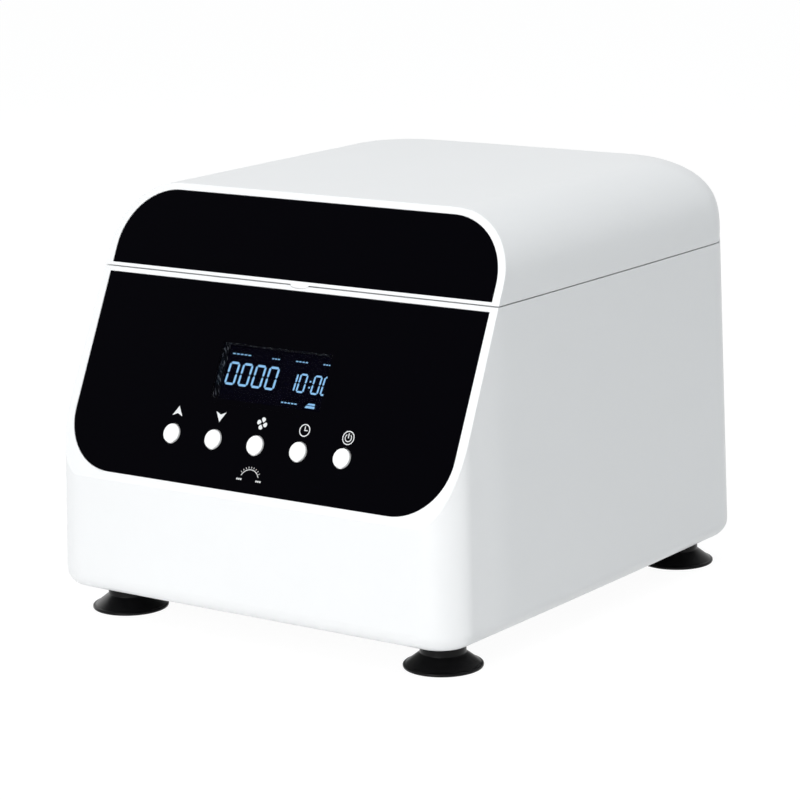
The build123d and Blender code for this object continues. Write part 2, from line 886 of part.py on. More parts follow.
with BuildPart() as lid_shell:
    add(lid_form.part)
    add(lid_room.part, mode=Mode.SUBTRACT)
    # Pads behind the hinges and posts for the liner's screws
    with BuildSketch(Plane.XZ.offset(pad_thickness - leaf_y)):
        with Locations([(x, lid_bottom + lid_pad_height / 2) for x in hinge_spots]):
            Rectangle(hinge_width + 2 * pad_margin, lid_pad_height)
    extrude(amount=-pad_thickness - leaf_thickness)
    with BuildSketch(Plane.XY.offset(liner_top)):
        with Locations(lid_screw_places):
            Circle(post_radius)
    extrude(amount=post_height)
    with BuildSketch(Plane.XY.offset(liner_top)):
        with Locations(lid_screw_places):
            Circle(screw_radius + running_fit)
    extrude(amount=screw_length, mode=Mode.SUBTRACT)
    # Seat of the overlay
    with BuildSketch(slope.offset(-panel_recess)):
        add(lid_panel_pocket)
    extrude(amount=2 * panel_recess, mode=Mode.SUBTRACT)
    # Hinge seats, with room for the knuckles and the leaf screws
    with BuildSketch(Plane.XZ.offset(-leaf_y)):
        with Locations([(x, lid_bottom) for x in hinge_spots]):
            Rectangle(hinge_width + 2 * fit, 2 * lid_leaf_height + 2 * fit)
    extrude(amount=-pad_thickness, mode=Mode.SUBTRACT)
    with Locations([(x, hinge_y, seam_height) for x in hinge_spots]):
        Cylinder(
            knuckle_radius + knuckle_room,
            hinge_width + 2 * fit,
            rotation=(0, 90, 0),
            mode=Mode.SUBTRACT,
        )
    with BuildSketch(Plane.XZ.offset(-leaf_y)):
        with Locations([(x, lid_bottom + lid_screw_rise) for x in leaf_screw_places]):
            Circle(screw_radius + running_fit)
    extrude(amount=leaf_screw_length, mode=Mode.SUBTRACT)
    # Finger notch tab that bridges the seam
    with BuildSketch(slope.offset(-panel_recess)):
        with Locations((notch_x, 0)):
            Ellipse(notch_width / 2, notch_height / 2)
    extrude(amount=panel_recess)

save(lid_shell, "lid_shell")

with BuildPart() as lid_panel:
    with BuildSketch(slope.offset(-panel_recess)):
        add(lid_panel_shape)
    extrude(amount=panel_thickness)

save(lid_panel, "lid_panel")

with BuildPart() as lid_liner:
    loft([plan_outline(lid_bottom, wall + 2 * fit), plan_outline(liner_top, wall + 2 * fit)], ruled=True)
    split(bisect_by=slope.offset(-front_wall - fit), keep=Keep.BOTTOM)
    with BuildSketch(Plane.XY.offset(lid_bottom)):
        with Locations((0, chamber_y)):
            Circle(dish_recess_radius + dish_wall)
    extrude(amount=dish_recess_height + dish_wall)
    with BuildSketch(Plane.XY.offset(lid_bottom)):
        with Locations((0, chamber_y)):
            Circle(dish_recess_radius)
    extrude(amount=dish_recess_height, mode=Mode.SUBTRACT)
    with BuildSketch(Plane.XY.offset(lid_bottom)):
        with Locations((0, chamber_y)):
            Circle(gasket_outer + groove_edge)
            Circle(gasket_inner - groove_edge, mode=Mode.SUBTRACT)
    extrude(amount=groove_depth, mode=Mode.SUBTRACT)
    # Slot for the strike, screw seats, and room for the hinge pads
    with BuildSketch(Plane.XY.offset(lid_bottom)):
        with Locations((0, strike_y)):
            Rectangle(strike_thickness + 2 * fit, strike_width + 2 * fit)
        with Locations(lid_screw_places):
            Circle(screw_radius + running_fit)
    extrude(amount=liner_thickness, mode=Mode.SUBTRACT)
    with BuildSketch(Plane.XY.offset(lid_bottom)):
        with Locations(lid_screw_places):
            Circle(screw_head + fit)
    extrude(amount=lid_head_depth, mode=Mode.SUBTRACT)
    with BuildSketch(Plane.XY.offset(lid_bottom)):
        with Locations([(x, leaf_y) for x in hinge_spots]):
            Rectangle(hinge_width + 2 * pad_margin + 2 * fit, 2 * pad_thickness + 2 * fit)
    extrude(amount=liner_thickness, mode=Mode.SUBTRACT)

save(lid_liner, "lid_liner")

with BuildPart() as lid_screws:
    with BuildSketch(Plane.XY.offset(lid_bottom + lid_head_depth - screw_head_height)):
        with Locations(lid_screw_places):
            Circle(screw_head)
    extrude(amount=screw_head_height)
    with BuildSketch(Plane.XY.offset(lid_bottom + lid_head_depth)):
        with Locations(lid_screw_places):
            Circle(screw_radius)
    extrude(amount=liner_thickness - lid_head_depth + screw_length - screw_room)

save(lid_screws, "lid_screws")

hook_radius = bolt_radius + 2 * fit
with BuildPart() as lid_strike:
    with BuildSketch(Plane.XY.offset(strike_bottom)):
        with Locations((0, strike_y)):
            Rectangle(strike_thickness, strike_width)
    extrude(amount=liner_top - strike_bottom)
    with BuildSketch(Plane.XY.offset(liner_top)):
        with Locations((0, strike_y)):
            Rectangle(strike_flange, strike_width)
    extrude(amount=strike_flange_thickness)
    # Hook for the bolt: a round seat that opens to the front
    with BuildSketch(Plane.YZ.offset(-strike_thickness)):
        with Locations((strike_y, bolt_height)):
            Circle(hook_radius)
        with Locations((strike_y - strike_width / 2, bolt_height)):
            Rectangle(strike_width, 2 * hook_radius)
    extrude(amount=2 * strike_thickness, mode=Mode.SUBTRACT)

save(lid_strike, "lid_strike")

# Hinges: leaves on the housing, leaves on the lid, pins and leaf screws
end_knuckle = (hinge_width - hinge_knuckle) / 2
end_spots = [x + side * (hinge_width - end_knuckle) / 2 for x in hinge_spots for side in (-1, 1)]
knuckle_step = knuckle_radius + fit

with BuildPart() as hinge_body_leaves:
    with BuildSketch(Plane.XZ.offset(-leaf_y)):
        with Locations([(x, seam_height - body_leaf_height / 2) for x in hinge_spots]):
            Rectangle(hinge_width, body_leaf_height)
        with Locations([(x, seam_height) for x in hinge_spots]):
            Rectangle(hinge_knuckle + 2 * fit, 2 * knuckle_step, mode=Mode.SUBTRACT)
        with Locations([(x, seam_height - body_screw_drop) for x in leaf_screw_places]):
            Circle(screw_radius + running_fit, mode=Mode.SUBTRACT)
    extrude(amount=-leaf_thickness)
    with Locations([(x, hinge_y, seam_height) for x in end_spots]):
        Cylinder(knuckle_radius, end_knuckle - fit, rotation=(0, 90, 0))
        Cylinder(pin_radius + running_fit, end_knuckle + past, rotation=(0, 90, 0), mode=Mode.SUBTRACT)

save(hinge_body_leaves, "hinge_body_leaves")

with BuildPart() as hinge_lid_leaves:
    with BuildSketch(Plane.XZ.offset(-leaf_y)):
        with Locations([(x, (lid_bottom + lid_leaf_height + seam_height) / 2) for x in hinge_spots]):
            Rectangle(hinge_width, lid_bottom + lid_leaf_height - seam_height)
        with Locations([(x, seam_height) for x in end_spots]):
            Rectangle(end_knuckle + 2 * fit, 2 * knuckle_step, mode=Mode.SUBTRACT)
        with Locations([(x, lid_bottom + lid_screw_rise) for x in leaf_screw_places]):
            Circle(screw_radius + running_fit, mode=Mode.SUBTRACT)
    extrude(amount=-leaf_thickness)
    with Locations([(x, hinge_y, seam_height) for x in hinge_spots]):
        Cylinder(knuckle_radius, hinge_knuckle - fit, rotation=(0, 90, 0))
        Cylinder(pin_radius + running_fit, hinge_knuckle + past, rotation=(0, 90, 0), mode=Mode.SUBTRACT)

save(hinge_lid_leaves, "hinge_lid_leaves")

with BuildPart() as hinge_pins:
    with Locations([(x, hinge_y, seam_height) for x in hinge_spots]):
        Cylinder(pin_radius, hinge_width, rotation=(0, 90, 0))

save(hinge_pins, "hinge_pins")


def leaf_screws(height):
    """Screws through both leaves at one height, their heads on the leaf."""
    places = [(x, height) for x in leaf_screw_places]
    with BuildPart() as screws:
        with BuildSketch(Plane.XZ.offset(-leaf_y - leaf_thickness)):
            with Locations(places):
                Circle(leaf_screw_head)
        extrude(amount=-leaf_screw_head_height)
        with BuildSketch(Plane.XZ.offset(-leaf_y - leaf_thickness)):
            with Locations(places):
                Circle(screw_radius)
        extrude(amount=leaf_thickness + leaf_screw_length - screw_room)
    return screws


hinge_screws = leaf_screws(seam_height - body_screw_drop)
lid_hinge_screws = leaf_screws(lid_bottom + lid_screw_rise)

save(hinge_screws, "hinge_screws")
save(lid_hinge_screws, "lid_hinge_screws")

# Lid lock under the deck: bracket with two cheeks, solenoid, bolt and lid sensor
cheek_spots = [side * (cheek_gap + cheek_thickness) / 2 for side in (-1, 1)]

with BuildPart() as lock_bracket:
    with BuildSketch(Plane.XY.offset(deck_under - bracket_thickness)):
        with Locations(((bracket_left + bracket_right) / 2, strike_y)):
            Rectangle(bracket_right - bracket_left, bracket_width)
        with Locations((0, strike_y)):
            Rectangle(
                strike_thickness + 2 * slot_room, strike_width + 2 * slot_room, mode=Mode.SUBTRACT
            )
    extrude(amount=bracket_thickness)
    with BuildSketch(Plane.XY.offset(bolt_height - cheek_drop)):
        with Locations([(x, strike_y) for x in cheek_spots]):
            Rectangle(cheek_thickness, bracket_width)
    extrude(amount=solenoid_size / 2 + cheek_drop)
    with Locations([(x, strike_y, bolt_height) for x in cheek_spots]):
        Cylinder(
            bolt_radius + running_fit, 2 * cheek_thickness, rotation=(0, 90, 0), mode=Mode.SUBTRACT
        )

save(lock_bracket, "lock_bracket")

bolt_end = bolt_rest_x + bolt_length
with BuildPart() as lock_solenoid:
    with Locations((solenoid_x + solenoid_length / 2, strike_y, bolt_height)):
        Box(solenoid_length, solenoid_size, solenoid_size)
    fillet(edges().filter_by(Axis.X), solenoid_round)
    with Locations(((solenoid_x + bolt_end) / 2, strike_y, bolt_height)):
        Cylinder(
            bolt_radius + running_fit,
            bolt_end - solenoid_x + 2 * fit,
            rotation=(0, 90, 0),
            mode=Mode.SUBTRACT,
        )

save(lock_solenoid, "lock_solenoid")

with BuildPart() as lock_bolt:
    with Locations(((bolt_rest_x + bolt_end) / 2, strike_y, bolt_height)):
        Cylinder(bolt_radius, bolt_length, rotation=(0, 90, 0))
    chamfer(edges().group_by(Axis.X)[0], bolt_bevel)

save(lock_bolt, "lock_bolt")

with BuildPart() as lid_sensor:
    with BuildSketch(Plane.XY.offset(deck_under - bracket_thickness)):
        with Locations((sensor_x, strike_y)):
            Rectangle(sensor_size, sensor_size)
    extrude(amount=-sensor_size)
    with Locations((sensor_x + sensor_size / 2, strike_y, bolt_height + sensor_pin)):
        Cylinder(sensor_pin, 2 * sensor_size / 3, rotation=(0, 90, 0))

save(lid_sensor, "lid_sensor")

# Drive: plate on rubber mounts, motor and spindle
with BuildPart() as motor_mounts:
    with BuildSketch(Plane.XY.offset(plate_top)):
        with Locations((0, chamber_y)):
            with PolarLocations(mount_circle, mount_count, 90):
                Circle(mount_radius)
    extrude(amount=motor_bottom - motor_plate_thickness - plate_top)
    chamfer(edges().filter_by(GeomType.CIRCLE), mount_bevel)

save(motor_mounts, "motor_mounts")

with BuildPart() as motor_plate:
    with BuildSketch(Plane.XY.offset(motor_bottom - motor_plate_thickness)):
        with Locations((0, chamber_y)):
            Circle(motor_plate_radius)
            with PolarLocations(mount_circle, mount_count, 30):
                Circle(motor_plate_hole, mode=Mode.SUBTRACT)
    extrude(amount=motor_plate_thickness)

save(motor_plate, "motor_plate")

cap_bottom = motor_top - motor_cap_height
seat_outer = bearing_radius + bearing_seat_wall
seat_inner = bearing_radius + running_fit
with BuildPart() as motor_can:
    with BuildSketch(upright):
        add(tube_section(motor_radius, motor_radius - motor_wall, motor_bottom, cap_bottom))
        add(tube_section(motor_radius, 0, motor_bottom, motor_bottom + motor_floor))
        add(tube_section(seat_outer, seat_inner, motor_bottom, bearing_lower + bearing_width))
    revolve(axis=spindle)

save(motor_can, "motor_can")

cap_hole = bearing_radius - motor_cap_lip
with BuildPart() as motor_cap:
    with BuildSketch(upright):
        add(tube_section(motor_radius, cap_hole, bearing_upper + bearing_width, motor_top))
        add(tube_section(motor_radius, seat_inner, cap_bottom, motor_top - motor_cap_roof))
        add(tube_section(seat_outer, seat_inner, bearing_upper, cap_bottom + motor_cap_roof))
    revolve(axis=spindle)

save(motor_cap, "motor_cap")

with BuildPart() as motor_stator:
    with BuildSketch(upright):
        add(
            tube_section(
                motor_radius - motor_wall - running_fit,
                stator_bore,
                stator_bottom,
                stator_bottom + stator_height,
            )
        )
    revolve(axis=spindle)

save(motor_stator, "motor_stator")

stator_top = stator_bottom + stator_height
coil_outer = motor_radius - motor_wall - winding_margin
coil_inner = stator_bore + winding_margin
with BuildPart() as motor_winding:
    with BuildSketch(upright) as coil_section:
        add(tube_section(coil_outer, coil_inner, stator_bottom - winding_height, stator_bottom))
        add(tube_section(coil_outer, coil_inner, stator_top, stator_top + winding_height))
        chamfer(coil_section.vertices().group_by(Axis.Y)[0], winding_bevel)
        chamfer(coil_section.vertices().group_by(Axis.Y)[-1], winding_bevel)
    revolve(axis=spindle)

save(motor_winding, "motor_winding")

bearing_middle = (bearing_radius + shaft_radius) / 2
bearing_levels = (bearing_lower, bearing_upper)
with BuildPart() as bearing_outer_rings:
    with BuildSketch(upright):
        for level in bearing_levels:
            add(tube_section(bearing_radius, bearing_middle + fit / 2, level, level + bearing_width))
    revolve(axis=spindle)

save(bearing_outer_rings, "bearing_outer_rings")

with BuildPart() as bearing_inner_rings:
    with BuildSketch(upright):
        for level in bearing_levels:
            add(
                tube_section(
                    bearing_middle - fit / 2, shaft_radius + running_fit, level, level + bearing_width
                )
            )
    revolve(axis=spindle)

save(bearing_inner_rings, "bearing_inner_rings")

with BuildPart() as motor_shaft:
    with BuildSketch(upright):
        add(tube_section(shaft_radius, 0, bearing_lower + fit, thread_bottom))
        add(tube_section(thread_radius, 0, thread_bottom, thread_top))
    revolve(axis=spindle)
    chamfer(edges().group_by(Axis.Z)[-1], shaft_bevel)

save(motor_shaft, "motor_shaft")

with BuildPart() as motor_magnets:
    with BuildSketch(upright):
        add(
            tube_section(
                stator_bore - magnet_gap, shaft_radius + running_fit, stator_bottom, stator_top
            )
        )
    revolve(axis=spindle)

save(motor_magnets, "motor_magnets")

with BuildPart() as drive_cone:
    with BuildSketch(upright):
        with BuildLine():
            Polyline(
                (shaft_radius + running_fit, cone_bottom),
                (cone_low_radius, cone_bottom),
                (cone_high_radius, web_bottom),
                (shaft_radius + running_fit, web_bottom),
                close=True,
            )
        make_face()
    revolve(axis=spindle)

save(drive_cone, "drive_cone")

# Rotor: conical disc on a hub, with slanted tube holes, sleeves and the clamping nut
cone_slope = (cone_low_radius - cone_high_radius) / (web_bottom - cone_bottom)
cone_mouth = cone_low_radius - cone_slope * (hub_bottom - cone_bottom) + running_fit
sleeve_axis = (-tilt_sin, 0, tilt_cos)


def across_tube(along):
    """Plane square to a tube's axis, at a distance from the sleeve's tip."""
    radius, height = on_tube(along)
    return Plane(origin=(radius, 0, height), x_dir=(0, 1, 0), z_dir=sleeve_axis)


with BuildPart() as tube_bores:
    with BuildSketch(across_tube(0)):
        Circle(hole_radius)
    extrude(amount=mouth + rotor_reach)
    with BuildSketch(across_tube(sleeve_length)):
        Circle(sleeve_lip + fit)
    extrude(amount=rotor_reach)

with BuildPart() as rotor_blank:
    with BuildSketch(Plane.XZ) as rotor_section:
        with BuildLine():
            Polyline(
                (cone_mouth, hub_bottom),
                (hub_radius, hub_bottom),
                (hub_radius, hub_top),
                on_tube(mouth - disc_thickness, rotor_reach),
                on_tube(mouth, rotor_reach),
                (dish_radius, dish_floor),
                (shaft_radius + running_fit, dish_floor),
                (shaft_radius + running_fit, web_bottom + fit),
                (cone_high_radius + running_fit, web_bottom + fit),
                close=True,
            )
        make_face()
        chamfer(corner(rotor_section, *on_tube(mouth, rotor_reach)), rotor_edge)
        chamfer(corner(rotor_section, *on_tube(mouth - disc_thickness, rotor_reach)), rotor_edge)
    revolve(axis=Axis.Z)

with BuildPart() as rotor_body:
    with Locations((0, chamber_y, 0)):
        add(rotor_blank.part)
        with PolarLocations(0, tube_count):
            add(tube_bores.part, mode=Mode.SUBTRACT)

save(rotor_body, "rotor_body")

with BuildPart() as sleeve:
    with BuildSketch(across_tube(0)):
        Circle(tube_bore + sleeve_wall)
    extrude(amount=sleeve_length)
    with BuildSketch(across_tube(sleeve_length)):
        Circle(sleeve_lip)
    extrude(amount=lip_height)
    with BuildSketch(across_tube(sleeve_floor)):
        Circle(tube_bore)
    extrude(amount=mouth, mode=Mode.SUBTRACT)

with BuildPart() as tube_sleeves:
    with Locations((0, chamber_y, 0)):
        with PolarLocations(0, tube_count):
            add(sleeve.part)

save(tube_sleeves, "tube_sleeves")

with BuildPart() as rotor_nut:
    with BuildSketch(Plane.XY.offset(dish_floor)):
        with Locations((0, chamber_y)):
            Circle(nut_radius)
            with PolarLocations(nut_radius + flute_radius / 2, nut_flutes):
                Circle(flute_radius, mode=Mode.SUBTRACT)
    extrude(amount=nut_height)
    chamfer(edges().group_by(Axis.Z)[-1], nut_bevel)
    with BuildSketch(Plane.XY.offset(dish_floor)):
        with Locations((0, chamber_y)):
            Circle(thread_radius + running_fit)
    extrude(amount=nut_height - nut_roof, mode=Mode.SUBTRACT)

save(rotor_nut, "rotor_nut")

# Supply board over the base plate
standoff_places = [
    (x, supply_y + y)
    for x in (-supply_width / 2 + standoff_corner, supply_width / 2 - standoff_corner)
    for y in (-supply_length / 2 + standoff_corner, supply_length / 2 - standoff_corner)
]

with BuildPart() as board_standoffs:
    with BuildSketch(Plane.XY.offset(plate_top)):
        with Locations(standoff_places):
            RegularPolygon(standoff_radius, 6)
    extrude(amount=standoff_height)

save(board_standoffs, "board_standoffs")

with BuildPart() as power_board:
    with BuildSketch(Plane.XY.offset(supply_bottom)):
        with Locations((0, supply_y)):
            Rectangle(supply_width, supply_length)
        with Locations(standoff_places):
            Circle(screw_radius, mode=Mode.SUBTRACT)
    extrude(amount=supply_thickness)

save(power_board, "power_board")

with BuildPart() as power_transformer:
    with Locations((transformer_x, supply_y, supply_top + transformer_height / 2)):
        Box(transformer_width, transformer_length - 2 * core_margin, transformer_height)
    with Locations((transformer_x, supply_y, supply_top + transformer_height / 2)):
        Box(transformer_width - 2 * core_margin, transformer_length, core_height)
    fillet(edges().filter_by(Axis.Z), core_round)

save(power_transformer, "power_transformer")

capacitor_places = [
    (capacitor_x + i * capacitor_pitch, capacitor_y) for i in range(capacitor_count)
]
with BuildPart() as power_capacitors:
    with BuildSketch(Plane.XY.offset(supply_top)):
        with Locations(capacitor_places):
            Circle(capacitor_radius)
    extrude(amount=capacitor_height)
    chamfer(edges().group_by(Axis.Z)[-1], capacitor_bevel)

save(power_capacitors, "power_capacitors")

fin_pitch = (heatsink_width - fin_thickness) / (fin_count - 1)
with BuildPart() as power_heatsink:
    with BuildSketch(Plane.XY.offset(supply_top)):
        with Locations((heatsink_x, heatsink_y - heatsink_depth / 2 + heatsink_web / 2)):
            Rectangle(heatsink_width, heatsink_web)
        with Locations((heatsink_x, heatsink_y)):
            with GridLocations(fin_pitch, 1, fin_count, 1):
                Rectangle(fin_thickness, heatsink_depth)
    extrude(amount=heatsink_height)

save(power_heatsink, "power_heatsink")

# Mains inlet and switch in the back pocket
back_face = Plane.XZ.offset(-wall_y)


def socket_section():
    """Outline of the socket: a rectangle with its two upper corners cut."""
    with BuildSketch() as outline:
        Rectangle(socket_width, socket_height)
        chamfer(outline.vertices().group_by(Axis.Y)[-1], socket_cut)
    return outline.sketch


socket_outline = socket_section()
with BuildPart() as inlet_socket:
    with BuildSketch(back_face):
        with Locations((inlet_x, back_z)):
            RectangleRounded(inlet_width + 2 * inlet_lip, inlet_height + 2 * inlet_lip, inlet_round)
    extrude(amount=-inlet_flange)
    with BuildSketch(back_face):
        with Locations((inlet_x, back_z)):
            Rectangle(inlet_width - fit, inlet_height - fit)
    extrude(amount=inlet_body)
    with BuildSketch(back_face.offset(-inlet_flange)):
        with Locations((inlet_x, back_z)):
            add(socket_outline)
    extrude(amount=socket_depth, mode=Mode.SUBTRACT)

save(inlet_socket, "inlet_socket")

pin_places = [
    (inlet_x - pin_pitch, back_z - earth_rise / 2),
    (inlet_x, back_z + earth_rise),
    (inlet_x + pin_pitch, back_z - earth_rise / 2),
]
with BuildPart() as inlet_pins:
    with BuildSketch(back_face.offset(socket_depth - inlet_flange)):
        with Locations(pin_places):
            Rectangle(pin_width, pin_height)
    extrude(amount=-pin_length)

save(inlet_pins, "inlet_pins")

rocker_y = wall_y + switch_flange - rocker_pivot_depth
frame_opening = rocker_half + rocker_gap
with BuildPart() as switch_frame:
    with BuildSketch(back_face):
        with Locations((switch_x, back_z)):
            RectangleRounded(switch_width + 2 * switch_lip, switch_tall + 2 * switch_lip, switch_round)
    extrude(amount=-switch_flange)
    with BuildSketch(back_face):
        with Locations((switch_x, back_z)):
            Rectangle(switch_width - fit, switch_tall - fit)
    extrude(amount=switch_body)
    with BuildSketch(back_face.offset(-switch_flange)):
        with Locations((switch_x, back_z)):
            Rectangle(rocker_width + 2 * fit, 2 * frame_opening)
    extrude(amount=rocker_pivot_depth + rocker_low + rocker_room, mode=Mode.SUBTRACT)
    with Locations((switch_x, rocker_y, back_z)):
        Cylinder(
            rocker_pin + running_fit,
            rocker_width + 2 * rocker_pin_length + fit,
            rotation=(0, 90, 0),
            mode=Mode.SUBTRACT,
        )

save(switch_frame, "switch_frame")

rocker_section = Plane(
    origin=(switch_x - rocker_width / 2, rocker_y, back_z),
    x_dir=(0, cos(radians(rocker_tilt)), -sin(radians(rocker_tilt))),
    z_dir=(1, 0, 0),
)
with BuildPart() as switch_rocker:
    with BuildSketch(rocker_section):
        with BuildLine():
            Polyline(
                (0, -rocker_half),
                (rocker_crest + rocker_half * sin(radians(rocker_tilt)), -rocker_half),
                (rocker_crest, 0),
                (rocker_crest + rocker_half * sin(radians(rocker_tilt)), rocker_half),
                (0, rocker_half),
            )
            ThreePointArc((0, rocker_half), (-rocker_low, 0), (0, -rocker_half))
        make_face()
    extrude(amount=rocker_width)
    with Locations((switch_x, rocker_y, back_z)):
        Cylinder(rocker_pin, rocker_width + 2 * rocker_pin_length, rotation=(0, 90, 0))

save(switch_rocker, "switch_rocker")
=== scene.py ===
import math

import bpy
import numpy as np
from mathutils import Matrix, Vector


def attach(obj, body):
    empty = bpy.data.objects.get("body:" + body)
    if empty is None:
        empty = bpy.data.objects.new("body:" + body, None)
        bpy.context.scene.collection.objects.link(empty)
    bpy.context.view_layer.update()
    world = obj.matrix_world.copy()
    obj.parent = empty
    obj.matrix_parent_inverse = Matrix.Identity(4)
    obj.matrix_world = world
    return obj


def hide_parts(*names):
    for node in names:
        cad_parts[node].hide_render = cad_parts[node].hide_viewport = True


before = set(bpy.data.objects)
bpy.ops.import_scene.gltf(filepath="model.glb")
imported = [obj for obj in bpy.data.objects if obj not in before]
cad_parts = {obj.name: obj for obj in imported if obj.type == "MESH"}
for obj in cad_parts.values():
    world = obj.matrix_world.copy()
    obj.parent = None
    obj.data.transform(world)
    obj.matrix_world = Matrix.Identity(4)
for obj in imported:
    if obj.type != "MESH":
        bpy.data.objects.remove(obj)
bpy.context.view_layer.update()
print("frame loaded")

mm = 0.001

# The sloped front: a place on it is x, the run up the slope from the seam, and the lift off it
slopeFacts = {"angle": 25.1, "seamY": -119.0, "seamZ": 222.5, "overlayFace": -0.3, "sink": 0.02}
slopeTurn = math.radians(slopeFacts["angle"])
upSlope = np.array([0.0, math.sin(slopeTurn), math.cos(slopeTurn)])
outSlope = np.array([0.0, -math.cos(slopeTurn), math.sin(slopeTurn)])


def onSlope(x, run, lift):
    # point = seam edge + x along X + run up the slope + lift along its outward normal, in metres
    x, run, lift = np.broadcast_arrays(np.asarray(x, float), np.asarray(run, float), np.asarray(lift, float))
    base = np.array([0.0, slopeFacts["seamY"], slopeFacts["seamZ"]])
    point = base + run[..., None] * upSlope + lift[..., None] * outSlope
    point[..., 0] += x
    return point * mm


# Meshes from arrays of points


def meshPiece(name, surface, body, material, smooth=True):
    points, faces = surface
    mesh = bpy.data.meshes.new(name)
    mesh.from_pydata(np.asarray(points).reshape(-1, 3).tolist(), [], faces)
    mesh.validate()
    mesh.polygons.foreach_set("use_smooth", [smooth] * len(mesh.polygons))
    mesh.update()
    piece = bpy.data.objects.new(name, mesh)
    bpy.context.scene.collection.objects.link(piece)
    mesh.materials.append(material)
    if body is not None:
        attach(piece, body)
    return piece


def loopFaces(rows, columns):
    # quads between neighbours of a grid of closed loops: the last column is joined to the first
    row, column = np.meshgrid(np.arange(rows - 1), np.arange(columns), indexing="ij")
    beside = (column + 1) % columns
    quads = [
        row * columns + column,
        row * columns + beside,
        (row + 1) * columns + beside,
        (row + 1) * columns + column,
    ]
    return np.stack(quads, -1).reshape(-1, 4).tolist()


def slopePlate(outlines, low, high):
    # each outline (x, run) is a closed loop, lifted to low and high, walled and capped
    points, faces, start = [], [], 0
    for loop in outlines:
        loop = np.asarray(loop, float)
        after = np.roll(loop, -1, axis=0)
        turning = np.sum(loop[:, 0] * after[:, 1] - loop[:, 1] * after[:, 0])
        if turning < 0:
            loop = loop[::-1]
        count = len(loop)
        points.append(onSlope(loop[:, 0], loop[:, 1], low))
        points.append(onSlope(loop[:, 0], loop[:, 1], high))
        faces += (np.array(loopFaces(2, count)) + start).tolist()
        faces.append(list(range(start + count, start + 2 * count)))
        faces.append(list(range(start + count - 1, start - 1, -1)))
        start += 2 * count
    return np.concatenate(points), faces


def roundRectangle(size, corner, steps):
    # loop of four quarter arcs, each a corner radius in from the corners of the rectangle
    turns = np.linspace(0, math.pi / 2, steps)
    quarter = corner * np.stack([np.cos(turns), np.sin(turns)], -1)
    inX, inY = size[0] / 2 - corner, size[1] / 2 - corner
    loop = []
    for index, (signX, signY) in enumerate(((1, 1), (-1, 1), (-1, -1), (1, -1))):
        arc = quarter * [signX, signY] + [signX * inX, signY * inY]
        loop.append(arc if index % 2 == 0 else arc[::-1])
    return np.concatenate(loop)


# Materials


def newMaterial(name):
    material = bpy.data.materials.new(name)
    material.use_nodes = True
    tree = material.node_tree
    return material, tree, tree.nodes["Principled BSDF"]


def colourOf(values):
    return (values[0], values[1], values[2], 1.0)


def objectPlace(tree):
    return tree.nodes.new("ShaderNodeTexCoord").outputs["Object"]


def mathNode(tree, operation, first, second=None):
    node = tree.nodes.new("ShaderNodeMath")
    node.operation = operation
    for socket, value in zip(node.inputs, (first, second)):
        if value is None:
            continue
        if isinstance(value, (int, float)):
            socket.default_value = value
        else:
            tree.links.new(value, socket)
    return node.outputs[0]


def splitNode(tree, vector):
    node = tree.nodes.new("ShaderNodeSeparateXYZ")
    tree.links.new(vector, node.inputs[0])
    return node.outputs


def noiseOn(tree, vector, scale, detail=2.0):
    noise = tree.nodes.new("ShaderNodeTexNoise")
    noise.inputs["Scale"].default_value = scale
    noise.inputs["Detail"].default_value = detail
    tree.links.new(vector, noise.inputs["Vector"])
    return noise.outputs["Fac"]


def tintBetween(tree, first, second, share, shader):
    # base colour between two colours, by a share from 0 to 1
    tint = tree.nodes.new("ShaderNodeMix")
    tint.data_type = "RGBA"
    tint.inputs["A"].default_value = colourOf(first)
    tint.inputs["B"].default_value = colourOf(second)
    tree.links.new(share, tint.inputs["Factor"])
    tree.links.new(tint.outputs["Result"], shader.inputs["Base Color"])
    return tint.outputs["Result"]


def bumpFrom(tree, height, strength, depth, shader):
    bump = tree.nodes.new("ShaderNodeBump")
    bump.inputs["Strength"].default_value = strength
    bump.inputs["Distance"].default_value = depth
    tree.links.new(height, bump.inputs["Height"])
    tree.links.new(bump.outputs["Normal"], shader.inputs["Normal"])
    return bump


def ringsAbout(tree, place, centre, grain):
    # lathe marks: the pattern reads only the distance from an upright axis and the height
    split = splitNode(tree, place)
    offX = mathNode(tree, "SUBTRACT", split[0], centre[0] * mm)
    offY = mathNode(tree, "SUBTRACT", split[1], centre[1] * mm)
    square = mathNode(tree, "ADD", mathNode(tree, "MULTIPLY", offX, offX), mathNode(tree, "MULTIPLY", offY, offY))
    join = tree.nodes.new("ShaderNodeCombineXYZ")
    tree.links.new(mathNode(tree, "SQRT", square), join.inputs[0])
    tree.links.new(split[2], join.inputs[1])
    return noiseOn(tree, join.outputs[0], grain, detail=3.0)


bandFacts = {"crestGap": 0.314, "distortion": 0.4}  # crestGap: metres between crests at scale 1


def bandsAlong(tree, place, direction, width):
    # light and dark bands across one direction, each a width across in millimetres
    wave = tree.nodes.new("ShaderNodeTexWave")
    wave.wave_type = "BANDS"
    wave.bands_direction = direction
    wave.inputs["Scale"].default_value = bandFacts["crestGap"] / (width * mm) / 2
    wave.inputs["Distortion"].default_value = bandFacts["distortion"]
    tree.links.new(place, wave.inputs["Vector"])
    return wave.outputs["Fac"]


peakToOne = 6.75  # t(1 - t)^2 peaks at 1 / 6.75


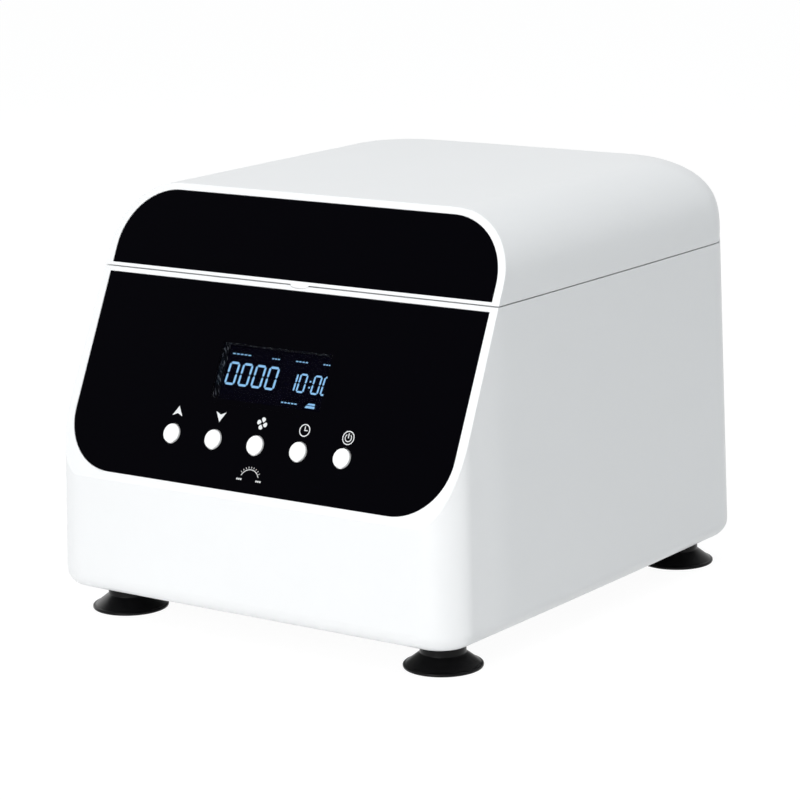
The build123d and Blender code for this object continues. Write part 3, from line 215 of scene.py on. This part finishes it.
def crownedNormal(tree, place, facts):
    # soft corner: on the sides the normal leans forward by lean * 6.75 t(1 - t)^2,
    # t running from 0 to 1 between two places along Y
    normal = tree.nodes.new("ShaderNodeNewGeometry").outputs["Normal"]
    sideways = splitNode(tree, normal)[0]
    span = tree.nodes.new("ShaderNodeMapRange")
    span.inputs["From Min"].default_value = facts["front"] * mm
    span.inputs["From Max"].default_value = facts["rear"] * mm
    tree.links.new(splitNode(tree, place)[1], span.inputs["Value"])
    part = span.outputs["Result"]
    rest = mathNode(tree, "SUBTRACT", 1.0, part)
    swell = mathNode(tree, "MULTIPLY", part, mathNode(tree, "MULTIPLY", rest, rest))
    lean = mathNode(tree, "MULTIPLY", swell, -peakToOne * facts["lean"])
    lean = mathNode(tree, "MULTIPLY", lean, mathNode(tree, "ABSOLUTE", sideways))
    forward = tree.nodes.new("ShaderNodeCombineXYZ")
    tree.links.new(lean, forward.inputs[1])
    leaning = tree.nodes.new("ShaderNodeVectorMath")
    leaning.operation = "ADD"
    tree.links.new(normal, leaning.inputs[0])
    tree.links.new(forward.outputs[0], leaning.inputs[1])
    straight = tree.nodes.new("ShaderNodeVectorMath")
    straight.operation = "NORMALIZE"
    tree.links.new(leaning.outputs[0], straight.inputs[0])
    return straight.outputs[0]


# What a finish has where it doesn't say otherwise: broad and fine are the scales of its two noises,
# shade is how dark the broad one makes the colour, and spread is the swing of the roughness
plainFinish = {
    "broad": 9.0,
    "fine": 1400.0,
    "shade": 0.97,
    "spread": 0.03,
    "bump": 0.08,
    "depth": 0.00003,
    "metal": 0.0,
    "gloss": 0.5,
    "coat": 0.0,
    "coatRoughness": 0.1,
    "alpha": 1.0,
}


def finish(name, given):
    # broad noise varies the colour, fine noise the roughness and the skin; turned parts have rings
    # round their axis in place of the fine noise, wound and laminated ones have bands
    facts = {**plainFinish, **given}
    material, tree, shader = newMaterial(name)
    place = objectPlace(tree)
    broad = noiseOn(tree, place, facts["broad"], detail=3.0)
    if "axis" in facts:
        fine = ringsAbout(tree, place, facts["axis"], facts["fine"])
    elif "bands" in facts:
        fine = bandsAlong(tree, place, *facts["bands"])
    else:
        fine = noiseOn(tree, place, facts["fine"])
    if "second" in facts:
        tintBetween(tree, facts["colour"], facts["second"], fine, shader)
    else:
        tintBetween(tree, facts["colour"], [facts["shade"] * part for part in facts["colour"]], broad, shader)
    rough = tree.nodes.new("ShaderNodeMapRange")
    rough.inputs["To Min"].default_value = facts["roughness"] - facts["spread"]
    rough.inputs["To Max"].default_value = facts["roughness"] + facts["spread"]
    tree.links.new(fine, rough.inputs["Value"])
    tree.links.new(rough.outputs["Result"], shader.inputs["Roughness"])
    bump = bumpFrom(tree, fine, facts["bump"], facts["depth"], shader)
    if "crown" in facts:
        tree.links.new(crownedNormal(tree, place, facts["crown"]), bump.inputs["Normal"])
    shader.inputs["Metallic"].default_value = facts["metal"]
    shader.inputs["Specular IOR Level"].default_value = facts["gloss"]
    shader.inputs["Coat Weight"].default_value = facts["coat"]
    shader.inputs["Coat Roughness"].default_value = facts["coatRoughness"]
    shader.inputs["Alpha"].default_value = facts["alpha"]
    return material


chamberAxis = (0.0, 27.0)
finishes = {
    "white": {"colour": (0.9, 0.905, 0.915), "roughness": 0.36, "bump": 0.05, "coat": 0.15, "coatRoughness": 0.2,
              "crown": {"front": -178.0, "rear": -105.0, "lean": 0.4}},
    "overlay": {"colour": (0.0008, 0.0007, 0.0017), "roughness": 0.3, "gloss": 0.016, "shade": 0.8},
    "window": {"colour": (0.0009, 0.0008, 0.0024), "roughness": 0.2, "gloss": 0.03, "shade": 0.8, "alpha": 0.35},
    "button": {"colour": (0.92, 0.92, 0.92), "roughness": 0.3, "bump": 0.02},
    "rubber": {"colour": (0.003, 0.003, 0.0035), "roughness": 0.3, "gloss": 0.14, "bump": 0.15},
    "greyRubber": {"colour": (0.12, 0.12, 0.125), "roughness": 0.6, "bump": 0.2},
    "blackPlastic": {"colour": (0.012, 0.012, 0.013), "roughness": 0.45, "gloss": 0.4, "bump": 0.25},
    "greyPlastic": {"colour": (0.62, 0.63, 0.63), "roughness": 0.5, "bump": 0.3},
    "paint": {"colour": (0.6, 0.6, 0.59), "roughness": 0.5, "bump": 0.4, "fine": 700.0},
    "spunSteel": {"colour": (0.62, 0.63, 0.64), "roughness": 0.24, "metal": 1.0, "spread": 0.08, "bump": 0.25,
                  "axis": chamberAxis, "fine": 1800.0},
    "steel": {"colour": (0.62, 0.63, 0.64), "roughness": 0.24, "metal": 1.0, "spread": 0.08, "bump": 0.1},
    "zinc": {"colour": (0.55, 0.55, 0.53), "roughness": 0.38, "metal": 1.0, "spread": 0.08, "shade": 0.85,
             "broad": 60.0},
    "turnedMetal": {"colour": (0.55, 0.56, 0.58), "roughness": 0.33, "metal": 1.0, "spread": 0.06, "bump": 0.25,
                    "axis": chamberAxis, "fine": 1800.0},
    "aluminium": {"colour": (0.5, 0.51, 0.52), "roughness": 0.4, "metal": 1.0, "spread": 0.06, "bump": 0.15},
    "sleeve": {"colour": (0.42, 0.43, 0.45), "roughness": 0.26, "metal": 1.0, "spread": 0.06},
    "board": {"colour": (0.01, 0.11, 0.03), "second": (0.03, 0.22, 0.06), "roughness": 0.35, "fine": 160.0,
              "bump": 0.3},
    "core": {"colour": (0.08, 0.08, 0.085), "roughness": 0.5, "metal": 0.6, "bump": 0.9, "bands": ("Z", 0.5),
             "depth": 0.0001},
    "coil": {"colour": (0.36, 0.12, 0.03), "roughness": 0.3, "metal": 0.5, "bump": 1.0, "bands": ("DIAGONAL", 0.7),
             "depth": 0.0002},
    "pin": {"colour": (0.6, 0.5, 0.25), "roughness": 0.25, "metal": 1.0},
    "capacitor": {"colour": (0.02, 0.025, 0.1), "roughness": 0.35},
    "bezel": {"colour": (0.004, 0.004, 0.005), "roughness": 0.4, "gloss": 0.3},
    "print": {"colour": (0.78, 0.79, 0.8), "roughness": 0.5},
}
made = {name: finish(name, facts) for name, facts in finishes.items()}

nodeFinish = {
    "white": ["housing_shell", "lid_shell"],
    "overlay": ["control_panel", "lid_panel"],
    "window": ["display_window"],
    "button": ["button_up", "button_down", "button_speed", "button_time", "button_power"],
    "rubber": ["suction_feet", "motor_mounts"],
    "greyRubber": ["chamber_gasket", "shaft_boot"],
    "blackPlastic": ["tact_switches", "lock_solenoid", "lid_sensor", "inlet_socket", "switch_frame",
                     "switch_rocker"],
    "greyPlastic": ["lid_liner"],
    "paint": ["base_plate", "guard_ring", "motor_can"],
    "spunSteel": ["chamber_bowl", "motor_shaft", "drive_cone", "rotor_nut"],
    "steel": ["lid_strike", "lock_bolt"],
    "zinc": ["base_screws", "foot_studs", "hinge_body_leaves", "hinge_lid_leaves", "hinge_pins", "hinge_screws",
             "lid_hinge_screws", "lock_bracket", "motor_plate", "bearing_outer_rings", "bearing_inner_rings",
             "board_standoffs", "lid_screws"],
    "turnedMetal": ["motor_cap", "rotor_body"],
    "aluminium": ["power_heatsink"],
    "sleeve": ["tube_sleeves"],
    "board": ["control_board", "power_board"],
    "core": ["motor_stator", "power_transformer", "motor_magnets"],
    "coil": ["motor_winding"],
    "pin": ["inlet_pins"],
    "capacitor": ["power_capacitors"],
    "bezel": ["display_module"],
}
for finishName, nodes in nodeFinish.items():
    for node in nodes:
        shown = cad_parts[node]
        shown.data.materials.clear()
        shown.data.materials.append(made[finishName])
print("materials on", sum(len(nodes) for nodes in nodeFinish.values()), "nodes")

# Floor, world and lights

stageFacts = {
    "floorColour": (0.86, 0.86, 0.86),
    "floorRoughness": 0.9,
    "floorReach": 12.0,
    "floorGlow": 1.08,
    "glowShare": 0.88,
    "backStrength": 1.0,
    "worldLight": 0.38,
    "worldColour": (0.94, 1.0, 1.02),
}


def seenDirectly(tree):
    # 1 for camera, glossy and transmission rays, 0 for the rest
    path = tree.nodes.new("ShaderNodeLightPath").outputs
    either = mathNode(tree, "MAXIMUM", path["Is Camera Ray"], path["Is Glossy Ray"])
    return mathNode(tree, "MAXIMUM", either, path["Is Transmission Ray"])


def mixShaders(tree, share, first, second, surface):
    mixed = tree.nodes.new("ShaderNodeMixShader")
    tree.links.new(share, mixed.inputs["Fac"])
    tree.links.new(first.outputs[0], mixed.inputs[1])
    tree.links.new(second.outputs[0], mixed.inputs[2])
    tree.links.new(mixed.outputs[0], surface)


world = bpy.data.worlds.new("studio")
bpy.context.scene.world = world
world.use_nodes = True
tree = world.node_tree
background = tree.nodes["Background"]
background.inputs["Strength"].default_value = stageFacts["worldLight"]
background.inputs["Color"].default_value = colourOf(stageFacts["worldColour"])
whiteBack = tree.nodes.new("ShaderNodeBackground")
whiteBack.inputs["Strength"].default_value = stageFacts["backStrength"]
mixShaders(tree, seenDirectly(tree), background, whiteBack, tree.nodes["World Output"].inputs["Surface"])

floorMaterial, tree, shader = newMaterial("floor")
shader.inputs["Base Color"].default_value = colourOf(stageFacts["floorColour"])
shader.inputs["Roughness"].default_value = stageFacts["floorRoughness"]
shader.inputs["Specular IOR Level"].default_value = 0.0
glowing = tree.nodes.new("ShaderNodeEmission")
glowing.inputs["Strength"].default_value = stageFacts["floorGlow"]
share = mathNode(tree, "MULTIPLY", seenDirectly(tree), stageFacts["glowShare"])
mixShaders(tree, share, shader, glowing, tree.nodes["Material Output"].inputs["Surface"])
reach = stageFacts["floorReach"]
corners = [[-reach, -reach, 0], [reach, -reach, 0], [reach, reach, 0], [-reach, reach, 0]]
floor = meshPiece("floor", (corners, [[0, 1, 2, 3]]), None, floorMaterial, smooth=False)

lampFacts = {
    "frontSoftbox": {"place": (0.4, -2.6, 0.75), "target": (0, 0, 0.12), "size": 1.5, "power": 34.5,
                     "colour": (1.0, 0.988, 0.975)},
    "topSoftbox": {"place": (0.25, -0.3, 2.4), "target": (0, 0, 0.2), "size": 1.8, "power": 25.0,
                   "colour": (1.0, 1.0, 1.0)},
    "leftSoftbox": {"place": (-2.4, 0.5, 0.7), "target": (0, 0, 0.12), "size": 1.5, "power": 8.0,
                    "colour": (1.0, 1.0, 1.0)},
}
for name, facts in lampFacts.items():
    light = bpy.data.lights.new(name, "AREA")
    light.shape = "SQUARE"
    light.size = facts["size"]
    light.energy = facts["power"]
    light.color = facts["colour"]
    lamp = bpy.data.objects.new(name, light)
    bpy.context.scene.collection.objects.link(lamp)
    lamp.location = facts["place"]
    aim = Vector(facts["target"]) - Vector(facts["place"])
    lamp.rotation_euler = aim.to_track_quat("-Z", "Y").to_euler()

# Camera at the photograph's view: place in millimetres, turns in degrees, then the lens

cameraFacts = {
    "place": (1147.335, -1608.82, 560.916),
    "yaw": 35.601,
    "pitch": 12.414,
    "roll": -1.157,
    "lens": 136.992,
    "sensor": 36.0,
    "seesTo": 60.0,
}
camera = bpy.data.objects.new("camera", bpy.data.cameras.new("camera"))
bpy.context.scene.collection.objects.link(camera)
bpy.context.scene.camera = camera
camera.data.sensor_width = cameraFacts["sensor"]
camera.data.lens = cameraFacts["lens"]
camera.data.clip_end = cameraFacts["seesTo"]
yaw = math.radians(cameraFacts["yaw"])
pitch = math.radians(cameraFacts["pitch"])
roll = math.radians(cameraFacts["roll"])
level = Vector((math.cos(yaw), math.sin(yaw), 0))
ahead = Vector((-math.sin(yaw) * math.cos(pitch), math.cos(yaw) * math.cos(pitch), -math.sin(pitch)))
above = level.cross(ahead)
rightward = level * math.cos(roll) + above * math.sin(roll)
upward = above * math.cos(roll) - level * math.sin(roll)
turn = Matrix((rightward, upward, -ahead)).transposed().to_4x4()
camera.matrix_world = Matrix.Translation(Vector(cameraFacts["place"]) * mm) @ turn
print("stage and camera set")

# Display: lining of the recess, border of the pane over it, dark field, digits and small marks

displayFacts = {
    "middle": (0.0, -59.5),
    "opening": (85.9, 36.9),
    "top": -1.85,
    "bottom": -7.95,
    "liningThick": 0.12,
    "pane": (91.8, 42.8),
    "clear": (85.6, 36.6),
    "borderThick": 0.04,
    "outerCorner": 0.4,
    "innerCorner": 0.3,
    "fieldGap": 0.2,
    "fieldThick": 0.06,
    "lit": {"colour": (0.2, 0.5, 0.95), "second": (0.42, 0.72, 1.0), "grain": 900.0, "strength": 1.7,
            "roughness": 0.5, "gloss": 0.1},
    "field": {"colour": (0.0008, 0.0008, 0.003), "second": (0.0015, 0.0012, 0.007), "grain": 60.0,
              "strength": 0.5, "roughness": 0.5, "gloss": 0.02},
    # the lining's pale streaks are a painted highlight on the crinkle crests
    "lining": {"dark": (0.005, 0.005, 0.006), "paintedHighlight": (0.8, 0.84, 0.88), "darkTo": 0.55, "highlightFrom": 0.66,
               "stretch": (1.0, 2.2, 0.55), "grain": 420.0, "bump": 0.8, "depth": 0.0004, "roughness": 0.45,
               "gloss": 0.2},
}


def glow(name, facts):
    # lit display parts: grain varies the colour, which is both painted and given off
    material, tree, shader = newMaterial(name)
    grain = noiseOn(tree, objectPlace(tree), facts["grain"])
    tint = tintBetween(tree, facts["colour"], facts["second"], grain, shader)
    tree.links.new(tint, shader.inputs["Emission Color"])
    shader.inputs["Emission Strength"].default_value = facts["strength"]
    shader.inputs["Roughness"].default_value = facts["roughness"]
    shader.inputs["Specular IOR Level"].default_value = facts["gloss"]
    return material


def liningMaterial(facts):
    # dark lining with bumped crinkles whose crests carry a painted highlight: stretched noise picks thin streaks out
    # of the dark ground, paints them pale and bumps them
    material, tree, shader = newMaterial("recessLining")
    stretch = tree.nodes.new("ShaderNodeMapping")
    stretch.inputs["Scale"].default_value = facts["stretch"]
    tree.links.new(objectPlace(tree), stretch.inputs["Vector"])
    streaks = noiseOn(tree, stretch.outputs["Vector"], facts["grain"], detail=5.0)
    ramp = tree.nodes.new("ShaderNodeValToRGB")
    ends = ((facts["darkTo"], facts["dark"]), (facts["highlightFrom"], facts["paintedHighlight"]))
    for element, (position, colour) in zip(ramp.color_ramp.elements, ends):
        element.position = position
        element.color = colourOf(colour)
    tree.links.new(streaks, ramp.inputs["Fac"])
    tree.links.new(ramp.outputs["Color"], shader.inputs["Base Color"])
    bumpFrom(tree, streaks, facts["bump"], facts["depth"], shader)
    shader.inputs["Roughness"].default_value = facts["roughness"]
    shader.inputs["Specular IOR Level"].default_value = facts["gloss"]
    return material


def slopeRing(facts, outerSize, innerSize, low, high):
    # four walls between two round-cornered rectangles: inner and outer loop at low, then at high
    middle = np.array(facts["middle"])
    outer = roundRectangle(outerSize, facts["outerCorner"], 5) + middle
    inner = roundRectangle(innerSize, facts["innerCorner"], 5) + middle
    order = ((inner, low), (outer, low), (outer, high), (inner, high))
    rings = [onSlope(loop[:, 0], loop[:, 1], lift) for loop, lift in order]
    count = len(outer)
    column = np.arange(count)
    beside = (column + 1) % count
    last = np.stack([3 * count + column, 3 * count + beside, beside, column], -1)
    return np.stack(rings), loopFaces(4, count) + last.tolist()


def inside(size, gap):
    return (size[0] - 2 * gap, size[1] - 2 * gap)


litMaterial = glow("litSegments", displayFacts["lit"])
fieldMaterial = glow("displayField", displayFacts["field"])
opening, bottom = displayFacts["opening"], displayFacts["bottom"]
lining = slopeRing(
    displayFacts, opening, inside(opening, displayFacts["liningThick"]), bottom, displayFacts["top"]
)
meshPiece("recessLining", lining, "housing", liningMaterial(displayFacts["lining"]), smooth=False)
overlayFace, sink = slopeFacts["overlayFace"], slopeFacts["sink"]
border = slopeRing(
    displayFacts, displayFacts["pane"], displayFacts["clear"], overlayFace, overlayFace + displayFacts["borderThick"]
)
meshPiece("windowBorder", border, "housing", made["overlay"], smooth=False)
fieldSize = inside(opening, displayFacts["fieldGap"])
fieldLoop = roundRectangle(fieldSize, displayFacts["outerCorner"], 3) + np.array(displayFacts["middle"])
fieldTop = bottom + displayFacts["fieldThick"]
field = slopePlate([fieldLoop], bottom - sink, fieldTop)
meshPiece("displayField", field, "housing", fieldMaterial, smooth=False)

digitBars = {"0": "abcdef", "1": "bc"}
speedDigits = {"shows": "0000", "places": [-36.4 + 10.5 * index for index in range(4)], "top": -51.8, "width": 8.2,
               "height": 15.2, "thick": 1.45, "gap": 0.16, "lean": 5.0}
clockDigits = {"shows": "1000", "places": (11.65, 19.15, 30.15, 37.8), "top": -53.8, "width": 6.2, "height": 12.4,
               "thick": 1.15, "gap": 0.16, "lean": 5.0}


def segmentDigit(centre, facts, bars):
    # pointed bars round a tall cell, named a to f from the top on; lean moves x by the run
    width, height, thick = facts["width"], facts["height"], facts["thick"]
    gap = thick * facts["gap"]
    halfW, halfH = width / 2 - thick / 2, height / 4 - thick / 4
    middle = facts["top"] - height / 2
    places = {
        "a": (0, middle + 2 * halfH, halfW - gap, False),
        "b": (halfW, middle + halfH, halfH - gap, True),
        "c": (halfW, middle - halfH, halfH - gap, True),
        "d": (0, middle - 2 * halfH, halfW - gap, False),
        "e": (-halfW, middle - halfH, halfH - gap, True),
        "f": (-halfW, middle + halfH, halfH - gap, True),
    }
    nip = thick / 2
    loops = []
    for key in bars:
        x, run, half, upright = places[key]
        bar = np.array(
            [[-half, 0], [-half + nip, nip], [half - nip, nip], [half, 0], [half - nip, -nip], [-half + nip, -nip]]
        )
        bar = (bar[:, ::-1] if upright else bar) + [x, run]
        bar[:, 0] += (bar[:, 1] - middle) * math.tan(math.radians(facts["lean"])) + centre
        loops.append(bar)
    return loops


def tile(left, right, low, high, lean=0.0):
    # small rectangle, its top moved along X by height * tan(lean)
    slant = (high - low) * math.tan(math.radians(lean))
    return [[left, low], [right, low], [right + slant, high], [left + slant, high]]


# rows are (first x, last x, run, pitch) of short blocks; the lid mark has a bar and a cap
markFacts = {
    "high": 0.1,
    "lean": 5.0,
    "colon": {"x": 24.6, "runs": (-58.3, -62.1), "wide": 1.1},
    "rows": [(-39.6, -24.6, -47.0, 3.1), (-8.1, -2.2, -47.2, 2.2), (10.6, 19.0, -47.0, 2.5), (31.9, 36.4, -46.9, 2.1),
             (6.6, 19.2, -73.9, 2.6)],
    "tall": 0.75,
    "filled": 0.66,
    "lid": {
        "place": (25.5, 32.8, -75.1),
        "bar": {"high": 1.5, "cut": 0.7},
        "cap": {"low": 2.0, "high": 3.1, "foot": 1.1, "cut": 2.4, "rearCut": 0.2},
    },
}
digitLoops = []
for facts in (speedDigits, clockDigits):
    for digit, centre in zip(facts["shows"], facts["places"]):
        digitLoops += segmentDigit(centre, facts, digitBars[digit])
lean, colon = markFacts["lean"], markFacts["colon"]
for run in colon["runs"]:
    digitLoops.append(
        tile(colon["x"], colon["x"] + colon["wide"], run - colon["wide"] / 2, run + colon["wide"] / 2, lean)
    )
for first, last, run, pitch in markFacts["rows"]:
    for x in np.arange(first, last, pitch):
        digitLoops.append(tile(x, x + markFacts["filled"] * pitch, run, run + markFacts["tall"], lean))
left, right, run = markFacts["lid"]["place"]
bar, cap = markFacts["lid"]["bar"], markFacts["lid"]["cap"]
digitLoops.append([[left, run], [right, run], [right, run + bar["high"]], [left + bar["cut"], run + bar["high"]]])
digitLoops.append([
    [left + cap["foot"], run + cap["low"]],
    [right, run + cap["low"]],
    [right - cap["rearCut"], run + cap["high"]],
    [left + cap["cut"], run + cap["high"]],
])
digits = slopePlate(digitLoops, fieldTop - sink, fieldTop + markFacts["high"])
meshPiece("displayDigits", digits, "housing", litMaterial, smooth=False)

# Printed icons above the buttons and the dial arc below them; rings are (outer, inner) radii

iconFacts = {
    "top": -0.22,
    "up": {"middle": (-65.4, -89.5), "tip": 3.5, "notch": -1.3, "foot": (4.0, -3.0)},
    "down": {"middle": (-31.4, -89.1), "tip": -3.6, "notch": 1.2, "foot": (-4.0, 3.0)},
    "fan": {"middle": (2.0, -89.8), "turn": -8,
            "blade": [[0.5, 0.85], [1.2, 1.35], [1.75, 2.3], [1.7, 3.2], [1.0, 3.9], [-0.2, 4.05], [-1.1, 3.55],
                      [-1.35, 2.7], [-0.6, 1.7]]},
    "clock": {"middle": (35.3, -90.3), "ring": (4.05, 3.4), "hand": 0.3, "long": 2.6, "short": 2.2},
    "power": {"middle": (68.9, -91.1), "ring": (4.45, 3.85), "openRing": (2.6, 2.05), "openTurns": (125, 415),
              "bar": 0.32, "barLow": -0.2, "barHigh": 3.0},
    "arc": {"middle": (2.1, -127.0), "ring": (7.6, 7.2), "turns": (25, 155), "ticks": 9, "tickTurns": (38, 142),
            "tick": (8.2, 9.3), "tickWide": 0.16},
    "ends": {"middles": (-5.6, 9.4), "steps": (-1.5, 0.0, 1.5), "half": 0.5, "low": -126.9, "high": -125.8,
             "lean": 5.0},
}


def arrowLoops(facts):
    # two halves that meet from tip to notch, each with a foot to its side
    (x, y), (footX, footY) = facts["middle"], facts["foot"]
    tip, notch = [x, y + facts["tip"]], [x, y + facts["notch"]]
    return [[tip, [x - footX, y + footY], notch], [tip, notch, [x + footX, y + footY]]]


def ringLoops(centre, radii, turns=(0.0, 360.0), count=48):
    # an arc band as short quads from the start angle to the stop angle
    turns = np.radians(np.linspace(*turns, count + 1))
    ray = np.stack([np.cos(turns), np.sin(turns)], -1)
    near, far = ray * radii[1] + np.array(centre), ray * radii[0] + np.array(centre)
    return list(np.stack([near[:-1], far[:-1], far[1:], near[1:]], 1))


def fanLoops(facts):
    # one blade's outline, turned by quarters round the middle
    loops = []
    for quarter in range(4):
        turn = math.radians(90 * quarter + facts["turn"])
        turned = np.array(facts["blade"]) @ np.array(
            [[math.cos(turn), math.sin(turn)], [-math.sin(turn), math.cos(turn)]]
        )
        loops.append(turned + np.array(facts["middle"]))
    return loops


def clockLoops(facts):
    (x, y), hand = facts["middle"], facts["hand"]
    loops = ringLoops((x, y), facts["ring"])
    loops.append(tile(x - hand, x + hand, y - hand, y + facts["long"]))
    loops.append(tile(x + hand, x + facts["short"], y - hand, y + hand))
    return loops


def powerLoops(facts):
    (x, y), bar = facts["middle"], facts["bar"]
    loops = ringLoops((x, y), facts["ring"])
    loops += ringLoops((x, y), facts["openRing"], facts["openTurns"], 40)
    loops.append(tile(x - bar, x + bar, y + facts["barLow"], y + facts["barHigh"]))
    return loops


def arcLoops(facts, ends):
    # a thin arc with ticks that stand on rays from its centre, and three blocks at each end
    middle = np.array(facts["middle"])
    loops = ringLoops(middle, facts["ring"], facts["turns"], 30)
    near, far = facts["tick"]
    for angle in np.radians(np.linspace(*facts["tickTurns"], facts["ticks"])):
        ray = np.array([math.cos(angle), math.sin(angle)])
        side = facts["tickWide"] * np.array([-math.sin(angle), math.cos(angle)])
        loops.append([ray * near - side + middle, ray * far - side + middle,
                      ray * far + side + middle, ray * near + side + middle])
    for centre in ends["middles"]:
        for step in ends["steps"]:
            place = centre + step
            loops.append(tile(place - ends["half"], place + ends["half"], ends["low"], ends["high"], ends["lean"]))
    return loops


iconLoops = arrowLoops(iconFacts["up"]) + arrowLoops(iconFacts["down"]) + fanLoops(iconFacts["fan"])
iconLoops += clockLoops(iconFacts["clock"]) + powerLoops(iconFacts["power"])
iconLoops += arcLoops(iconFacts["arc"], iconFacts["ends"])
icons = slopePlate(iconLoops, overlayFace - sink, iconFacts["top"])
meshPiece("panelIcons", icons, "housing", made["print"], smooth=False)
print("display and icons made")

# Turned pieces: the buttons, each with a small chin at its lower edge, and the suction feet


def turnedSurface(radii, heights, ends, placed):
    # each row is a closed loop, radii[row, turn] off the axis at one height; ends are the two poles
    rows, around = radii.shape
    turns = np.linspace(-math.pi, math.pi, around, endpoint=False)
    level = np.broadcast_to(np.asarray(heights)[:, None], radii.shape)
    points = placed(radii * np.cos(turns), radii * np.sin(turns), level).reshape(-1, 3)
    poles = placed(np.zeros(2), np.zeros(2), np.array(ends))
    column = np.arange(around)
    beside = (column + 1) % around
    base, top = rows * around, (rows - 1) * around
    faces = loopFaces(rows, around)
    faces += np.stack([np.full(around, base), beside, column], -1).tolist()
    faces += np.stack([top + column, top + beside, np.full(around, base + 1)], -1).tolist()
    return np.concatenate([points, poles]), faces


buttonFacts = {
    "names": ("up", "down", "speed", "time", "power"),
    "pitch": 33.5,
    "middleX": 0.5,
    "run": -104.1,
    "radius": 6.15,
    "chin": 0.9,
    "chinTurn": -79.0,
    "blunt": 0.35,
    "rim": 0.15,
    "crown": 0.75,
    "dome": 0.2,
    "round": 0.35,
    "roundRings": 7,
    "domeRings": (0.9, 0.12, 6),
    "flange": {"radius": 8.0, "low": -6.2, "high": -4.8},
    "stem": {"radius": 2.0, "end": -9.3},
    "around": 96,
}


def buttonSurface(middleX, facts):
    # outline = circle joined by tangents to a point below it, cut blunt; rings shrink it to the
    # crown by a quarter ellipse at the rim and a shallow parabola inside
    turns = np.linspace(-math.pi, math.pi, facts["around"], endpoint=False)
    away = np.angle(np.exp(1j * (turns - math.radians(facts["chinTurn"]))))
    reachOut = facts["radius"] + facts["chin"]
    tangent = math.acos(facts["radius"] / reachOut)
    outline = np.where(np.abs(away) < tangent, facts["radius"] / np.cos(tangent - np.abs(away)), facts["radius"])
    outline = np.minimum(outline, reachOut - facts["blunt"])
    flange, stem = facts["flange"], facts["stem"]
    below = [stem["radius"], stem["radius"], flange["radius"], flange["radius"]]
    bend = np.linspace(0, math.pi / 2, facts["roundRings"])
    inner = np.linspace(*facts["domeRings"])
    shoulder = facts["crown"] - facts["dome"]
    scale = np.concatenate([[1.0], 1 - facts["round"] / facts["radius"] * (1 - np.cos(bend)), inner])
    radii = np.concatenate([np.outer(below, np.ones(facts["around"])), np.outer(scale, outline)])
    heights = np.concatenate([
        [stem["end"], flange["low"], flange["low"], flange["high"], flange["high"]],
        facts["rim"] + (shoulder - facts["rim"]) * np.sin(bend),
        facts["crown"] - facts["dome"] * inner**2,
    ])

    def placed(x, run, lift):
        return onSlope(x + middleX, run + facts["run"], lift)

    return turnedSurface(radii, heights, (stem["end"], facts["crown"]), placed)


for index, name in enumerate(buttonFacts["names"]):
    surface = buttonSurface(buttonFacts["middleX"] + (index - 2) * buttonFacts["pitch"], buttonFacts)
    piece = meshPiece("button_" + name + "_cap", surface, "button_" + name, made["button"])
    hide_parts("button_" + name)

# the profile is (radius, height) pairs: under the cup, round its lip, up the outside, down the stud's hole
footFacts = {
    "places": [(x, y) for x in (-125.1, 125.1) for y in (-141.0, 141.0)],
    "ends": (6.0, 10.0),
    "profile": [
        (9.0, 6.0), (16.2, 3.1), (23.4, 0.25), (23.9, 0.06), (24.3, 0.0), (24.7, 0.15), (24.93, 0.55), (25.0, 1.1),
        (24.92, 1.6), (24.6, 1.95), (24.1, 2.1), (23.6, 2.15), (23.3, 2.3), (23.0, 2.55), (20.0, 4.88), (17.0, 7.2),
        (14.75, 8.95), (14.5, 9.2), (14.42, 9.45), (14.4, 9.8), (14.4, 14.0), (14.4, 18.6), (14.3, 18.9), (14.0, 19.0),
        (3.25, 19.0), (3.25, 18.9), (3.25, 10.1), (3.25, 10.0),
    ],
    "around": 128,
}


def footSurface(middle, facts):
    # the profile's radii and heights turned about the upright axis at the middle
    profile = np.array(facts["profile"])

    def placed(x, y, z):
        return np.stack([x + middle[0], y + middle[1], z], -1) * mm

    radii = np.outer(profile[:, 0], np.ones(facts["around"]))
    return turnedSurface(radii, profile[:, 1], facts["ends"], placed)


points, faces = [], []
for index, middle in enumerate(footFacts["places"]):
    footPoints, footFaces = footSurface(middle, footFacts)
    shift = index * len(footPoints)
    points.append(footPoints)
    faces += [[corner + shift for corner in face] for face in footFaces]
feet = meshPiece("suctionFeet", (np.concatenate(points), faces), "housing", made["rubber"])
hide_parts("suction_feet")
print("buttons and feet made")

# Finish

bpy.context.scene.view_settings.view_transform = "Standard"
